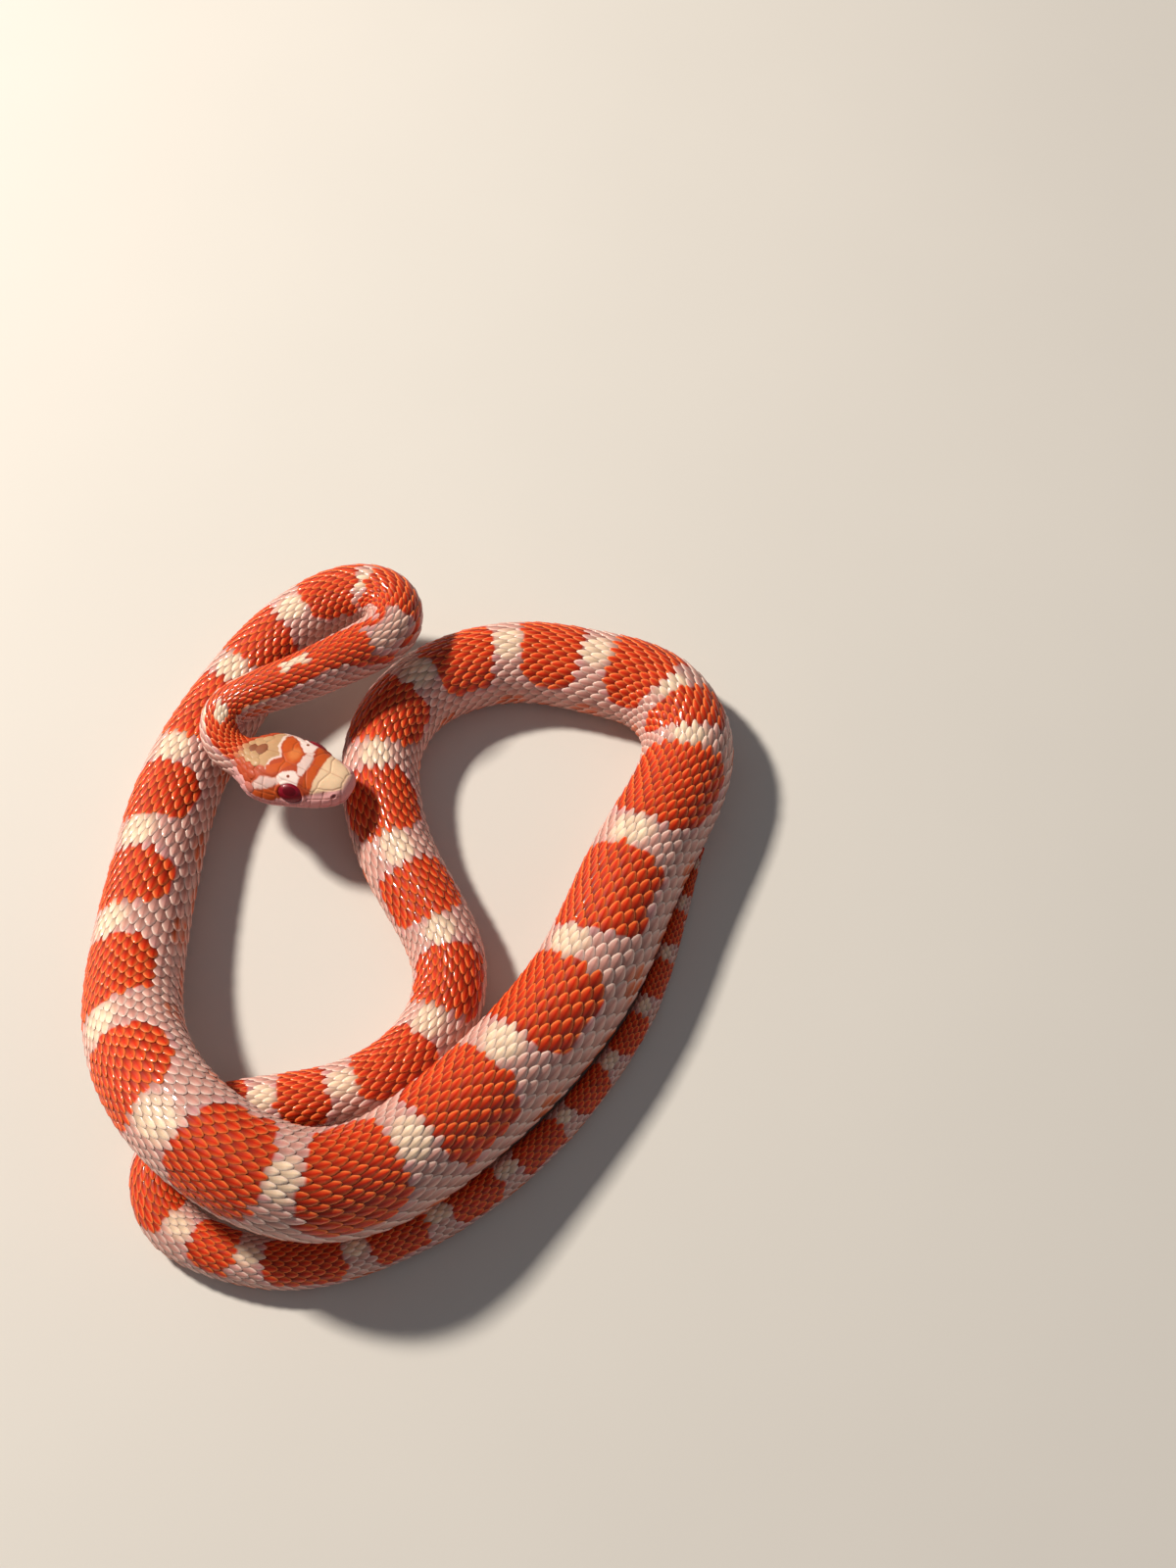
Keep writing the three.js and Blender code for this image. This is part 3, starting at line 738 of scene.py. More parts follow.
def head_masks(u, top_place, mouth_height):
    """Shares of each colour on the head."""
    wander = 0.16 * ripple(u * 2.1, top_place * 2.3, 1.0) + 0.12 * ripple(u * 5.3, top_place * 4.9, 2.0)
    x = u + wander
    y = top_place + 0.16 * ripple(u * 1.9, top_place * 2.0, 7.0)
    y = y + 0.12 * ripple(u * 4.7, top_place * 5.5, 3.0)
    height = np.where(mouth_height > 0, mouth_height, 0.0)
    snout_bar = blob(x, y, SNOUT_BAR, 0.16)
    crown = blob(x, y, CROWN_BLOTCH, 0.18)
    cheek = blob(x, height + wander, CHEEK_STRIPE, 0.3)
    orange = np.maximum.reduce([snout_bar, crown, cheek])
    heart = 1.0 - smoothstep(np.hypot((x - CROWN_HEART[0]) / 1.5, (y - CROWN_HEART[1]) / 2.3), 0.4, 1.2)
    outline = 1.0 - smoothstep(line_distance(x, y, CROWN_OUTLINE), 0.16, 0.42)
    white = np.maximum.reduce([
        blob(x, y, NEAR_BROW, 0.2), blob(x, y, FAR_BROW, 0.2), 0.8 * blob(x, y, PALE_BAR, 0.2),
        0.75 * outline, 0.7 * blob(x, np.abs(y), TEMPLE, 0.3),
    ])
    white = white * (1.0 - crown)
    dot = 1.0 - smoothstep(np.hypot(u - 12.4, np.abs(top_place) - 5.1), 0.22, 0.42)
    nape = blob(x, y, NAPE_BLOTCH, 0.35)
    snout = 1.0 - smoothstep(x, 6.7, 7.2)
    pink_edge = mouth_height + 0.3 * ripple(u * 1.3, u * 0.4, 4.0)
    pink_edge = pink_edge - 1.1 * (1.0 - smoothstep(u, 5.5, 8.5))
    lip = np.maximum(1.0 - smoothstep(pink_edge, 2.0, 3.0), 1.0 - smoothstep(u, 0.3, 1.5))
    lip = lip * (1.0 - cheek)
    seams = seam_distance(u, np.abs(top_place), mouth_height)
    return {
        "head": 1.0 - smoothstep(u, 24.0, 28.0),
        "orange": orange,
        "heart": heart * crown,
        "white": white * (1.0 - dot),
        "tan": blob(x, y, NAPE_TAN, 0.3),
        "dark": np.maximum(dot, nape * 0.85),
        "snout": snout,
        "lip": lip,
        "seam": swell(seams, 0.13) * (1.0 - smoothstep(u, *SHIELDS_END)),
    }


# Coat

PLATE_POINTS = 12
PLATE_SQUASH = 0.4              # a scale's real width over its length, while it is modelled
PLATE_EDGE = 0.5                # heights in thicknesses: the edge, the rise to the rim, the rise inside
PLATE_RIM = 0.4
PLATE_CROWN = 0.6
SCALE_SINK = 0.05               # how far the root of a scale lies under the skin
MARK_SPREAD = 0.45              # how far the markings run on within a scale: 0 gives each one colour


def model_plate():
    """One back scale, modelled flat: x from its root to its tip, y across it, z out of the body."""
    clear_selection()
    bpy.ops.mesh.primitive_circle_add(vertices=PLATE_POINTS, radius=0.5, fill_type="NGON",
                                      location=(0.5, 0.0, 0.0))
    plate = bpy.context.object
    bpy.ops.object.transform_apply(location=True, rotation=False, scale=False)
    points = read_points(plate)
    points[:, 1] *= PLATE_SQUASH * (1.0 - 0.28 * (2.0 * np.abs(points[:, 0] - 0.5)) ** 2)
    write_points(plate, points)
    bpy.ops.object.mode_set(mode="EDIT")
    bpy.ops.mesh.select_all(action="SELECT")
    bpy.ops.mesh.extrude_region_move(TRANSFORM_OT_translate={"value": (0.0, 0.0, PLATE_EDGE)})
    bpy.ops.transform.resize(value=(0.96, 0.90, 1.0), center_override=(0.5, 0.0, 0.5))
    bpy.ops.mesh.inset(thickness=0.052)
    bpy.ops.transform.translate(value=(0.0, 0.0, PLATE_RIM))
    bpy.ops.mesh.inset(thickness=0.03)
    bpy.ops.transform.resize(value=(1.0, 0.3, 1.0), center_override=(0.5, 0.0, 0.5))
    bpy.ops.transform.translate(value=(0.0, 0.0, PLATE_CROWN))
    bpy.ops.mesh.poke(offset=0.1)
    bpy.ops.mesh.select_all(action="SELECT")
    bpy.ops.mesh.normals_make_consistent(inside=False)
    bpy.ops.transform.resize(value=(1.0, 1.0 / PLATE_SQUASH, 1.0), center_override=(0.5, 0.0, 0.0))
    bpy.ops.object.mode_set(mode="OBJECT")
    return plate


def model_scute():
    """One belly scute, modelled flat: x from its front to its free edge, y across the belly."""
    clear_selection()
    bpy.ops.mesh.primitive_grid_add(x_subdivisions=3, y_subdivisions=12, size=1.0,
                                    location=(0.5, 0.0, 0.0))
    scute = bpy.context.object
    bpy.ops.object.transform_apply(location=True, rotation=False, scale=False)
    points = read_points(scute)
    points[:, 0] -= 0.16 * (2.0 * np.abs(points[:, 1])) ** 3 * points[:, 0]
    points[:, 2] = 0.45 * (points[:, 0] > 0.2) * (points[:, 0] < 0.8)
    write_points(scute, points)
    wall = scute.modifiers.new("Thickness", "SOLIDIFY")
    wall.thickness = 0.6
    wall.offset = -1.0
    bpy.ops.object.modifier_apply(modifier=wall.name)
    bpy.ops.object.mode_set(mode="EDIT")
    bpy.ops.mesh.select_all(action="SELECT")
    bpy.ops.mesh.normals_make_consistent(inside=False)
    bpy.ops.object.mode_set(mode="OBJECT")
    return scute


def take_template(item):
    """Points, face corners and face sizes of a modelled piece, which is then removed."""
    points = read_points(item)
    corners = np.empty(len(item.data.loops), np.int32)
    item.data.loops.foreach_get("vertex_index", corners)
    sizes = np.empty(len(item.data.polygons), np.int32)
    item.data.polygons.foreach_get("loop_total", sizes)
    bpy.data.objects.remove(item)
    return points, corners, sizes


def make_steps():
    """Distance of each step of the coat along the body."""
    s = np.arange(FIRST_SCALE, LAST_SCALE, 0.25)
    count = np.concatenate([[0.0], np.cumsum(0.25 / smooth_table(SCALE_STEP, s[:-1]))])
    return s, count


def row_angle(row, s):
    """Angle from the top at which a row of scales runs, with wider rows low on the flank.

    The middle rows follow the lean of the pattern, the lowest rows follow the belly.
    """
    share = row / (smooth_table(SCALE_ROWS, s) / 2.0)
    lean = np.radians(smooth_table(LEAN, s)) * smoothstep(s, 150.0, 200.0)
    even = BELLY_EDGE * (share * (1.0 - FLANK_WIDENING) + FLANK_WIDENING * share**3)
    return even + lean * np.maximum(1.0 - share**2, 0.0)


def arc_from_top(s, a):
    """Distance round the section from its top, towards the left."""
    share = np.linspace(0.0, 1.0, 25)[:, None]
    v, w = section(s + 0.0 * share, a * share)
    return np.sign(a) * np.hypot(np.diff(v, axis=0), np.diff(w, axis=0)).sum(0)


def lay_plates(name, template, root_s, row, zone, seed):
    """Joined scales of one zone, each bent to the body at its place, with colours and a bake map."""
    coat = bpy.context.scene.snake_coat
    chosen = (root_s >= zone[0]) & (root_s < zone[1])
    root_s = root_s[chosen]
    row = row[chosen]
    plate, corners, sizes = template
    rng = np.random.default_rng(seed)
    count = len(root_s)
    step = smooth_table(SCALE_STEP, root_s)
    length = step * SCALE_OVERLAP * rng.uniform(0.96, 1.04, count)
    width = SCALE_SPREAD * rng.uniform(0.96, 1.04, count)
    tilt = coat.lift / MM * rng.uniform(0.88, 1.12, count)
    small = np.minimum(girth(root_s) / 8.0, 1.0)
    thick = coat.thickness / MM * small
    s = root_s[:, None] + plate[None, :, 0] * length[:, None]
    across = plate[None, :, 1] * width[:, None]
    a = row_angle(row[:, None] + across, s)
    rise = tilt[:, None] * small[:, None] * plate[None, :, 0]
    lift = rise - coat_depth(s) - SCALE_SINK + plate[None, :, 2] * thick[:, None]
    item = join_copies(name, surface_point(s, a, lift), corners, sizes)
    middle_s = root_s + 0.55 * length
    middle_a = row_angle(row, middle_s)
    edge_s = (MARK_SPREAD * s + (1.0 - MARK_SPREAD) * middle_s[:, None]).ravel()
    edge_a = (MARK_SPREAD * a + (1.0 - MARK_SPREAD) * middle_a[:, None]).ravel()
    marks = pattern_masks(edge_s, edge_a, np.repeat(rng.uniform(-0.4, 0.4, count), len(plate)))
    top_place = arc_from_top(middle_s, middle_a)
    height = arc_from_top(middle_s, np.full(count, math.pi / 2)) - np.abs(top_place)
    masks = head_masks(middle_s, top_place, height)
    masks["tone"] = rng.uniform(-1.0, 1.0, count)
    masks = {key: np.repeat(values, len(plate)) for key, values in masks.items()}
    # paler edge of each scale: in part the scale's own colour, in part a painted highlight on its raised rim
    masks["rim"] = np.tile(1.0 - smoothstep(plate[:, 2], 0.55, 1.1), count)
    # painted shade: darker towards the root of each scale, where the scale before it overlaps it
    masks["root"] = np.tile(1.0 - smoothstep(plate[:, 0], 0.28, 0.78), count)
    masks.update(marks)
    write_shares(item.data, masks)
    add_bake_map(item, root_s, row / smooth_table(SCALE_ROWS, root_s) + 0.5, plate, corners, zone)
    return item


BAKE_PATCH = 0.003


def add_bake_map(item, root_s, root_share, plate, corners, zone):
    """A map on which each scale is a small patch at its root's place on the unwrapped body."""
    start = max(zone[0], FIRST_SCALE)
    end = min(zone[1], LAST_SCALE)
    u0 = 0.01 + 0.98 * (root_s - start) / (end - start)
    v0 = 0.01 + 0.98 * np.clip(root_share, 0.0, 1.0)
    u = u0[:, None] + BAKE_PATCH * (plate[None, corners, 0] - 0.5)
    v = v0[:, None] + BAKE_PATCH * plate[None, corners, 1]
    layer = item.data.uv_layers.new(name="OFBake")
    layer.uv.foreach_set("vector", np.stack([u, v], -1).astype(np.float32).ravel())


def scale_places():
    """Distance and row of every scale of the back and flanks."""
    s, count = make_steps()
    all_s = []
    all_rows = []
    for row in range(-16, 17):
        shift = 0.5 * (row % 2)
        wanted = np.arange(0, int(count[-1])) + shift
        root = np.interp(wanted, count, s)
        limit = smooth_table(SCALE_ROWS, root) / 2.0 - 0.15
        kept = np.abs(row) <= limit
        all_s.append(root[kept])
        all_rows.append(np.full(kept.sum(), float(row)))
    return np.concatenate(all_s), np.concatenate(all_rows)


def make_back_scales():
    """The overlapping scales of the back and flanks, in zones along the body."""
    template = take_template(model_plate())
    root_s, row = scale_places()
    made = []
    for k, (name, zone) in enumerate(COAT_ZONES.items()):
        made.append(lay_plates(name, template, root_s, row, zone, 11 + k))
    return made


def make_belly_scutes():
    """The broad scutes of the belly, from the throat to the tip of the tail."""
    coat = bpy.context.scene.snake_coat
    scute, corners, sizes = take_template(model_scute())
    s, count = make_steps()
    root_s = np.interp(np.arange(0, int(count[-1])) + 0.25, count, s)
    root_s = root_s[root_s > FIRST_SCUTE]
    number = len(root_s)
    rng = np.random.default_rng(5)
    length = smooth_table(SCALE_STEP, root_s) * 1.35
    s = root_s[:, None] + scute[None, :, 0] * length[:, None]
    reach = 2.0 * (math.pi - BELLY_EDGE + 0.1)
    a = math.pi + scute[None, :, 1] * reach + 0.0 * s
    small = np.minimum(girth(root_s) / 8.0, 1.0)[:, None]
    rise = 0.2 * coat.lift / MM * small * scute[None, :, 0]
    lift = rise - coat_depth(s) + 0.03 + 0.18 * small * scute[None, :, 2]
    item = join_copies("belly_scutes", surface_point(s, a, lift), corners, sizes)
    masks = pattern_masks(s.ravel(), a.ravel(), np.zeros(s.size))
    masks["belly"] = np.ones(s.size)
    masks["tone"] = np.repeat(rng.uniform(-1.0, 1.0, number), len(scute))
    # paler free edge of each scute: in part its own colour, in part a painted highlight
    masks["rim"] = np.tile(smoothstep(scute[:, 0], 0.8, 1.0), number)
    write_shares(item.data, masks)
    add_bake_map(item, root_s, np.full(number, 0.5), scute, corners, (FIRST_SCUTE, LAST_SCALE))
    return item


# Eyes

def make_eye(name, side):
    """An eye under its clear scale, with a measure of how far each point lies from the pupil."""
    clear_selection()
    bpy.ops.mesh.primitive_uv_sphere_add(segments=64, ring_count=40, radius=1.0)
    eye = bpy.context.object
    eye.name = name
    ball = read_points(eye)
    u, v, w = EYE_PLACE
    along, out, across = (ball * np.array(EYE_SIZE)).T
    out = side * out
    back = along * math.cos(EYE_RISE) - across * math.sin(EYE_RISE)
    rise = along * math.sin(EYE_RISE) + across * math.cos(EYE_RISE)
    outside = v - EYE_SINK + out * math.cos(EYE_TILT) - rise * math.sin(EYE_TILT) + EYE_SPREAD * back
    height = w + out * math.sin(EYE_TILT) + rise * math.cos(EYE_TILT)
    local = np.stack([u + back, side * outside, height], -1)
    middle, left, up = frames_at(local[:, 0])
    points = middle + left * local[:, 1:2] + up * local[:, 2:3]
    write_points(eye, points * MM)
    pupil_axis = np.array([0.08, side * 0.93, 0.36])
    pupil_axis /= np.linalg.norm(pupil_axis)
    write_shares(eye.data, {"from_pupil": np.arccos(np.clip(ball @ pupil_axis, -1.0, 1.0))})
    bpy.ops.object.shade_smooth()
    return eye


# Materials

def add_node(tree, kind, **values):
    """A shader node with the given settings."""
    node = tree.nodes.new(kind)
    for key, value in values.items():
        setattr(node, key, value)
    return node


def mix_colour(tree, factor, first, second, blend="MIX"):
    """Mixes two colours, each a socket or a value, and gives the output socket."""
    node = add_node(tree, "ShaderNodeMix", data_type="RGBA", blend_type=blend)
    for socket, value in ((node.inputs[0], factor), (node.inputs[6], first), (node.inputs[7], second)):
        if isinstance(value, bpy.types.NodeSocket):
            tree.links.new(value, socket)
        else:
            socket.default_value = value
    return node.outputs[2]


def maths(tree, operation, first, second=0.0):
    """One step of arithmetic on sockets or numbers."""
    node = add_node(tree, "ShaderNodeMath", operation=operation)
    for socket, value in zip(node.inputs, (first, second)):
        if isinstance(value, bpy.types.NodeSocket):
            tree.links.new(value, socket)
        else:
            socket.default_value = value
    return node.outputs[0]


def clamped(tree, value):
    """A value held between 0 and 1."""
    held = maths(tree, "ADD", value)
    held.node.use_clamp = True
    return held


def shade_colour(tree, colour, level):
    """A colour made lighter or darker by a level, which is 1 for no change."""
    grey = add_node(tree, "ShaderNodeCombineColor")
    for socket in grey.inputs:
        tree.links.new(level, socket)
    return mix_colour(tree, 1.0, colour, grey.outputs[0], "MULTIPLY")


def set_inputs(node, values):
    """Sets the free inputs of a node."""
    for name, value in values.items():
        node.inputs[name].default_value = value


def linear(red, green, blue):
    """A colour given in screen values from 0 to 255, as the shader's linear values."""
    def one(value):
        share = value / 255.0
        return share / 12.92 if share <= 0.04045 else ((share + 0.055) / 1.055) ** 2.4
    return (one(red), one(green), one(blue), 1.0)


def new_group(name, inputs, outputs):
    """A shader node group with named sockets."""
    tree = bpy.data.node_groups.new(name, "ShaderNodeTree")
    for socket_name, kind in inputs:
        tree.interface.new_socket(socket_name, in_out="INPUT", socket_type=kind)
    for socket_name, kind in outputs:
        tree.interface.new_socket(socket_name, in_out="OUTPUT", socket_type=kind)
    return tree, add_node(tree, "NodeGroupInput"), add_node(tree, "NodeGroupOutput")


def share_socket(tree, name):
    """The stored value of that name."""
    return add_node(tree, "ShaderNodeAttribute", attribute_name=name).outputs["Fac"]


# Inputs of the markings and of the painted shade and highlight on the scales: stored values by their names,
# and colours with the names of their properties
MARKING_AND_PAINTED_LIGHT_SHARES = ["Saddle", "Border", "Light", "Blotch", "Belly", "Rim", "Root", "Tone"]
MARKING_COLOURS = {
    "Saddle colour": "saddle", "Saddle rim": "saddle_rim", "Border colour": "border",
    "Light colour": "light", "Flank colour": "flank", "Flank rim": "flank_rim",
    "Blotch colour": "blotch", "Belly colour": "belly",
}


def make_markings_and_painted_light_group():
    """Colour of the body's markings from their shares, with painted shade at each scale's root and paler
    scale edges that are partly a painted highlight.
    """
    inputs = [(name, "NodeSocketFloat") for name in MARKING_AND_PAINTED_LIGHT_SHARES]
    inputs += [(name, "NodeSocketColor") for name in MARKING_COLOURS]
    tree, start, end = new_group("Snake markings and painted light", inputs, [("Color", "NodeSocketColor")])
    get = start.outputs
    outside = maths(tree, "DIVIDE", maths(tree, "SUBTRACT", 0.5, get["Saddle"]), EDGE_SLOPE)
    saddle = clamped(tree, maths(tree, "SUBTRACT", 0.5, maths(tree, "MULTIPLY", outside, 4.0)))
    near = clamped(tree, maths(tree, "SUBTRACT", BORDER_WIDTH + 0.3, outside))
    border = maths(tree, "MULTIPLY", near, get["Border"])
    colour = mix_colour(tree, border, get["Flank colour"], get["Border colour"])
    colour = mix_colour(tree, get["Light"], colour, get["Light colour"])
    colour = mix_colour(tree, get["Blotch"], colour, get["Blotch colour"])
    colour = mix_colour(tree, get["Belly"], colour, get["Belly colour"])
    # the Rim share paints the scales' paler edges, in part their own colour and in part a painted highlight
    pale = mix_colour(tree, maths(tree, "MULTIPLY", get["Rim"], 0.75), colour, get["Flank rim"])
    red = mix_colour(tree, maths(tree, "MULTIPLY", get["Rim"], 0.9), get["Saddle colour"], get["Saddle rim"])
    colour = mix_colour(tree, saddle, pale, red)
    # painted shade: the Root share darkens each scale towards its root, more in the saddles; Tone is the
    # scales' own random variation
    shade = maths(tree, "ADD", maths(tree, "MULTIPLY", get["Tone"], 0.08), 1.0)
    depth = maths(tree, "ADD", maths(tree, "MULTIPLY", saddle, 0.2), 0.5)
    shade = maths(tree, "SUBTRACT", shade, maths(tree, "MULTIPLY", get["Root"], depth))
    tree.links.new(shade_colour(tree, colour, shade), end.inputs["Color"])
    return tree


def make_mottle_group():
    """Fine cloudy variation of a colour, with a matching small height."""
    inputs = [("Color", "NodeSocketColor"), ("Size", "NodeSocketFloat"), ("Strength", "NodeSocketFloat")]
    outputs = [("Color", "NodeSocketColor"), ("Height", "NodeSocketFloat")]
    tree, start, end = new_group("Skin mottle", inputs, outputs)
    place = add_node(tree, "ShaderNodeTexCoord")
    noise = add_node(tree, "ShaderNodeTexNoise", noise_dimensions="3D")
    noise.inputs["Detail"].default_value = 3.0
    tree.links.new(place.outputs["Object"], noise.inputs["Vector"])
    tree.links.new(start.outputs["Size"], noise.inputs["Scale"])
    swing = maths(tree, "SUBTRACT", noise.outputs["Fac"], 0.5)
    swing = maths(tree, "MULTIPLY", swing, start.outputs["Strength"])
    colour = shade_colour(tree, start.outputs["Color"], maths(tree, "ADD", swing, 1.0))
    tree.links.new(colour, end.inputs["Color"])
    tree.links.new(noise.outputs["Fac"], end.inputs["Height"])
    return tree


def add_group(tree, group, values):
    """Places a node group; each input is given a socket or a value."""
    node = add_node(tree, "ShaderNodeGroup", node_tree=group)
    for name, value in values.items():
        socket = node.inputs[name]
        if isinstance(value, bpy.types.NodeSocket):
            tree.links.new(value, socket)
        else:
            socket.default_value = value
    return node


def start_material(name):
    """An empty material with its surface shader."""
    material = bpy.data.materials.new(name)
    material.use_nodes = True
    tree = material.node_tree
    return material, tree, tree.nodes["Principled BSDF"]


def body_colour(tree, markings):
    """The body's marking colours at this point of a material."""
    colours = bpy.context.scene.snake_colours
    values = {name: share_socket(tree, name.lower()) for name in MARKING_AND_PAINTED_LIGHT_SHARES}
    for name, source in MARKING_COLOURS.items():
        values[name] = (*getattr(colours, source), 1.0)
    return add_group(tree, markings, values).outputs["Color"]


def head_colour(tree, under):
    """The head's colours laid over the body's."""
    colours = bpy.context.scene.snake_colours
    colour = mix_colour(tree, share_socket(tree, "snout"), (*colours.cheek, 1.0), (*colours.snout, 1.0))
    for name, value in (
        ("lip", colours.lip), ("tan", colours.arm), ("white", colours.brow), ("orange", colours.head_orange),
        ("heart", colours.heart), ("dark", colours.nape), ("seam", colours.seam),
    ):
        share = share_socket(tree, name)
        if name in ("seam", "heart"):
            share = maths(tree, "MULTIPLY", share, 0.38)
        colour = mix_colour(tree, share, colour, (*value, 1.0))
    return mix_colour(tree, share_socket(tree, "head"), under, colour)


def make_skin_material(name, markings, mottle, roughness, gloss):
    """Skin or scales: markings, fine mottling, a soft gloss and a little light let in."""
    material, tree, surface = start_material(name)
    colour = head_colour(tree, body_colour(tree, markings))
    clouds = add_group(tree, mottle, {"Color": colour, "Size": 900.0, "Strength": 0.22})
    tree.links.new(clouds.outputs["Color"], surface.inputs["Base Color"])
    bump = add_node(tree, "ShaderNodeBump")
    set_inputs(bump, {"Strength": 0.25, "Distance": 0.05 * MM})
    tree.links.new(clouds.outputs["Height"], bump.inputs["Height"])
    tree.links.new(bump.outputs["Normal"], surface.inputs["Normal"])
    face = maths(tree, "MULTIPLY", share_socket(tree, "head"), -0.93 * gloss)
    tree.links.new(maths(tree, "ADD", face, gloss), surface.inputs["Coat Weight"])
    set_inputs(surface, {
        "Roughness": roughness, "Specular IOR Level": 0.14, "Coat Roughness": 0.11,
        "Subsurface Weight": 0.12, "Subsurface Radius": (1.0, 0.35, 0.25), "Subsurface Scale": 0.9 * MM,
    })
    return material


def make_eye_material():
    """Dark red pupil and crimson iris under a wet clear scale."""
    colours = bpy.context.scene.snake_colours
    material, tree, surface = start_material("eye_crimson")
    ramp = add_node(tree, "ShaderNodeValToRGB")
    for element, place in zip(ramp.color_ramp.elements, (0.0, 0.36)):
        element.position = place
        element.color = (*colours.pupil, 1.0)
    for place, value in ((0.42, colours.iris_edge), (0.5, colours.iris)):
        ramp.color_ramp.elements.new(place).color = (*value, 1.0)
    share = maths(tree, "MULTIPLY", share_socket(tree, "from_pupil"), 0.8)
    tree.links.new(share, ramp.inputs["Fac"])
    tree.links.new(ramp.outputs["Color"], surface.inputs["Base Color"])
    set_inputs(surface, {
        "Roughness": 0.4, "Specular IOR Level": 0.25, "Coat Weight": 0.12, "Coat Roughness": 0.12,
    })
    return material


def set_material(item, material):
    """Gives a piece its one material."""
    item.data.materials.clear()
    item.data.materials.append(material)


def shared(name, maker, *values):
    """A material or node group that is made once and then found by its name."""
    store = bpy.data.node_groups if name in ("Snake markings and painted light", "Skin mottle") else bpy.data.materials
    return store.get(name) or maker(*values)


def coat_material(name, roughness, gloss):
    """The skin or coat material of that name."""
    markings = shared("Snake markings and painted light", make_markings_and_painted_light_group)
    mottle = shared("Skin mottle", make_mottle_group)
    return shared(name, make_skin_material, name, markings, mottle, roughness, gloss)


# What a user would change

def size(label, text, default):
    """A length in metres."""
    return bpy.props.FloatProperty(name=label, description=text, default=default, unit="LENGTH", precision=5)


def tint(label, text, red, green, blue):
    """A colour given in screen values."""
    return bpy.props.FloatVectorProperty(
        name=label, description=text, default=linear(red, green, blue)[:3], subtype="COLOR",
        min=0.0, max=1.0)


class SnakeCoatProperties(bpy.types.PropertyGroup):
    depth: size("Coat depth", "How far the skin lies under the outside of the scales", 0.52 * MM)
    lift: size("Scale lift", "How far the tip of a scale stands over its root", 0.48 * MM)
    thickness: size("Scale thickness", "Thickness of a scale at mid-body", 0.2 * MM)


class SnakeColourProperties(bpy.types.PropertyGroup):
    saddle: tint("Saddle", "Red of the saddles", 216, 44, 0)
    # Saddle rim and Flank rim colour the scales' paler edges, in part a painted highlight
    saddle_rim: tint("Saddle rim", "Edges of the scales in a saddle", 255, 132, 66)
    border: tint("Border", "Thin line round a saddle", 208, 140, 138)
    light: tint("Light", "Cream between the saddles on the back", 254, 216, 182)
    flank: tint("Flank", "Pale lilac pink of the flanks", 212, 148, 134)
    flank_rim: tint("Flank rim", "Edges of the pale scales", 252, 220, 204)
    blotch: tint("Blotch", "Orange blotches low on the flank", 214, 92, 34)
    belly: tint("Belly", "Pale belly", 240, 208, 196)
    snout: tint("Snout", "Cream yellow of the snout", 238, 202, 164)
    cheek: tint("Cheek", "Side and back of the head", 180, 72, 40)
    lip: tint("Lip", "Pink of the lips", 226, 164, 160)
    arm: tint("Arm", "Tan of the mark behind the crown", 190, 148, 108)
    brow: tint("Brow", "White over the eyes", 240, 216, 206)
    head_orange: tint("Head orange", "Orange bar and blotch of the head", 198, 84, 34)
    heart: tint("Crown heart", "Lighter middle of the blotch on the crown", 236, 160, 92)
    nape: tint("Nape", "Brown red inside the tan mark", 126, 60, 38)
    seam: tint("Seam", "Thin lines between the head shields", 150, 92, 62)
    pupil: tint("Pupil", "Dark red pupil", 98, 0, 16)
    iris: tint("Iris", "Crimson iris", 130, 2, 28)
    iris_edge: tint("Iris edge", "Brighter ring round the pupil", 140, 8, 34)


class SnakeStageProperties(bpy.types.PropertyGroup):
    lens: bpy.props.FloatProperty(
        name="Lens", description="Focal length of the camera in millimetres", default=50.0)
    height: bpy.props.FloatProperty(
        name="Camera height", description="Angle of the camera above the floor",
        default=math.radians(62), subtype="ANGLE")
    distance: size("Distance", "From the camera to the point it looks at", 505.0 * MM)
    look_x: size("Look at X", "Point of the floor in the middle of the picture", 37.5 * MM)
    look_y: size("Look at Y", "Point of the floor in the middle of the picture", 36.2 * MM)
    floor: tint("Floor", "Plain floor", 214, 208, 200)


class SnakeOperator(bpy.types.Operator):
    """Base of the operators that build the snake"""
    bl_options = {"REGISTER", "UNDO"}


class SNAKE_OT_skin(SnakeOperator):
    """Make the skin from the nose to the tip of the tail"""
    bl_idname = "snake.skin"
    bl_label = "Skin"

    def execute(self, context):
        skin = make_skin()
        set_material(skin, coat_material("snake_skin", 0.5, 0.18))
        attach(skin, "root")
        flesh = [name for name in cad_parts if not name.startswith("eye")]
        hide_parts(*flesh)
        return {"FINISHED"}


class SNAKE_OT_back_scales(SnakeOperator):
    """Lay the overlapping scales of the back and flanks"""
    bl_idname = "snake.back_scales"
    bl_label = "Back scales"

    def execute(self, context):
        for item in make_back_scales():
            set_material(item, coat_material("back_scales", 0.5, 0.36))
            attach(item, "root")
        return {"FINISHED"}


class SNAKE_OT_belly_scutes(SnakeOperator):
    """Lay the broad scutes of the belly"""
    bl_idname = "snake.belly_scutes"
    bl_label = "Belly scutes"

    def execute(self, context):
        scutes = make_belly_scutes()
        set_material(scutes, coat_material("belly_scutes", 0.34, 0.3))
        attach(scutes, "root")
        return {"FINISHED"}


class SNAKE_OT_eyes(SnakeOperator):
    """Set the two eyes in their sockets"""
    bl_idname = "snake.eyes"
    bl_label = "Eyes"

    def execute(self, context):
        for name, node, side in (("left_eye", "eye_left", 1.0), ("right_eye", "eye_right", -1.0)):
            eye = make_eye(name, side)
            set_material(eye, shared("eye_crimson", make_eye_material))
            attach(eye, "root")
            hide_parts(node)
        return {"FINISHED"}


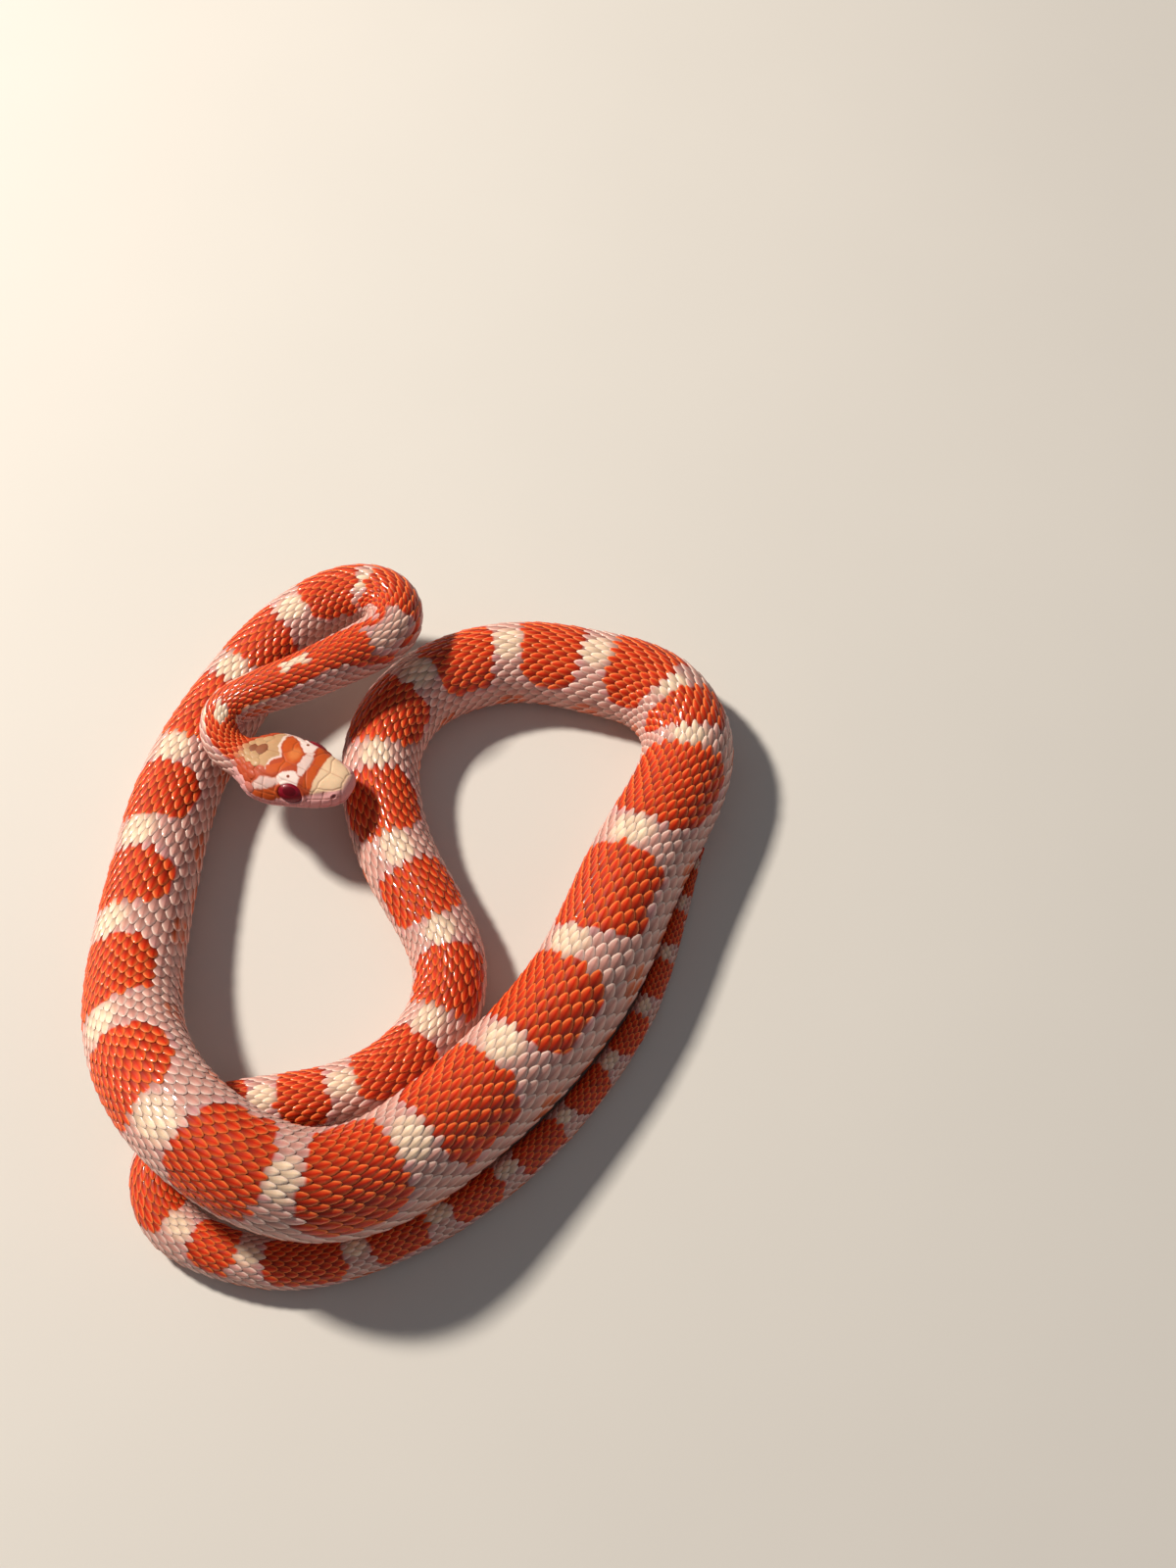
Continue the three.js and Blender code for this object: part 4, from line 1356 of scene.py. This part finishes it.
# Soft square lamps: name, place, strength, size, colour
LAMPS = [
    ("key_lamp", (-0.72, 0.44, 0.88), 20.5, 0.13, (1.0, 0.94, 0.85)),
    ("fill_lamp", (0.8, -0.7, 0.7), 0.8, 0.9, (0.95, 0.95, 1.0)),
]
ROOM_LIGHT = (0.9, 0.93, 1.0, 1.0)
ROOM_STRENGTH = 0.16


def add_lamp(name, place, energy, across, lamp_colour):
    """A soft square lamp that looks at the middle of the coil."""
    clear_selection()
    bpy.ops.object.light_add(type="AREA", location=place)
    lamp = bpy.context.object
    lamp.name = name
    lamp.data.size = across
    lamp.data.energy = energy
    lamp.data.color = lamp_colour
    lamp.rotation_euler = (-Vector(place)).to_track_quat("-Z", "Y").to_euler()


class SNAKE_OT_stage(SnakeOperator):
    """Set the floor, the soft lamps and the camera"""
    bl_idname = "snake.stage"
    bl_label = "Stage"

    def execute(self, context):
        stage = context.scene.snake_stage
        context.scene.view_settings.view_transform = "Standard"
        clear_selection()
        bpy.ops.mesh.primitive_plane_add(size=6.0)
        floor = bpy.context.object
        floor.name = "floor"
        material, tree, surface = start_material("plain_floor")
        mottle = shared("Skin mottle", make_mottle_group)
        values = {"Color": (*stage.floor, 1.0), "Size": 14.0, "Strength": 0.05}
        clouds = add_group(tree, mottle, values)
        tree.links.new(clouds.outputs["Color"], surface.inputs["Base Color"])
        set_inputs(surface, {"Roughness": 0.85})
        set_material(floor, material)
        for lamp in LAMPS:
            add_lamp(*lamp)
        world = bpy.data.worlds.new("Soft room")
        world.use_nodes = True
        set_inputs(world.node_tree.nodes["Background"], {"Color": ROOM_LIGHT, "Strength": ROOM_STRENGTH})
        context.scene.world = world
        target = Vector((stage.look_x, stage.look_y, 0.0))
        away = Vector((0.0, -math.cos(stage.height), math.sin(stage.height)))
        bpy.ops.object.camera_add(location=target + away * stage.distance)
        camera = bpy.context.object
        camera.data.lens = stage.lens
        camera.data.sensor_width = 36.0
        camera.data.clip_start = 0.01
        camera.rotation_euler = (-away).to_track_quat("-Z", "Y").to_euler()
        context.scene.camera = camera
        return {"FINISHED"}


class SNAKE_PT_panel(bpy.types.Panel):
    """Lists the pieces of the snake"""
    bl_idname = "SNAKE_PT_panel"
    bl_label = "Corn snake"
    bl_space_type = "VIEW_3D"
    bl_region_type = "UI"
    bl_category = "Corn snake"

    def draw(self, context):
        for operator in OPERATORS:
            self.layout.operator(operator.bl_idname)
        for group in (context.scene.snake_coat, context.scene.snake_colours, context.scene.snake_stage):
            for name in group.__annotations__:
                self.layout.prop(group, name)


GROUPS = {
    "snake_coat": SnakeCoatProperties,
    "snake_colours": SnakeColourProperties,
    "snake_stage": SnakeStageProperties,
}
OPERATORS = (SNAKE_OT_skin, SNAKE_OT_back_scales, SNAKE_OT_belly_scutes, SNAKE_OT_eyes, SNAKE_OT_stage)


def register():
    """Adds the properties, operators and panel."""
    for name, group in GROUPS.items():
        bpy.utils.register_class(group)
        setattr(bpy.types.Scene, name, bpy.props.PointerProperty(type=group))
    for item in (*OPERATORS, SNAKE_PT_panel):
        bpy.utils.register_class(item)


def unregister():
    """Takes them away again."""
    for item in reversed((*OPERATORS, SNAKE_PT_panel)):
        bpy.utils.unregister_class(item)
    for name, group in GROUPS.items():
        delattr(bpy.types.Scene, name)
        bpy.utils.unregister_class(group)


def main():
    """Runs each operator in turn."""
    register()
    for operator in OPERATORS:
        folder, name = operator.bl_idname.split(".")
        if getattr(getattr(bpy.ops, folder), name)() != {"FINISHED"}:
            raise RuntimeError(operator.bl_label + " wasn't finished")


if __name__ == "__main__":
    main()
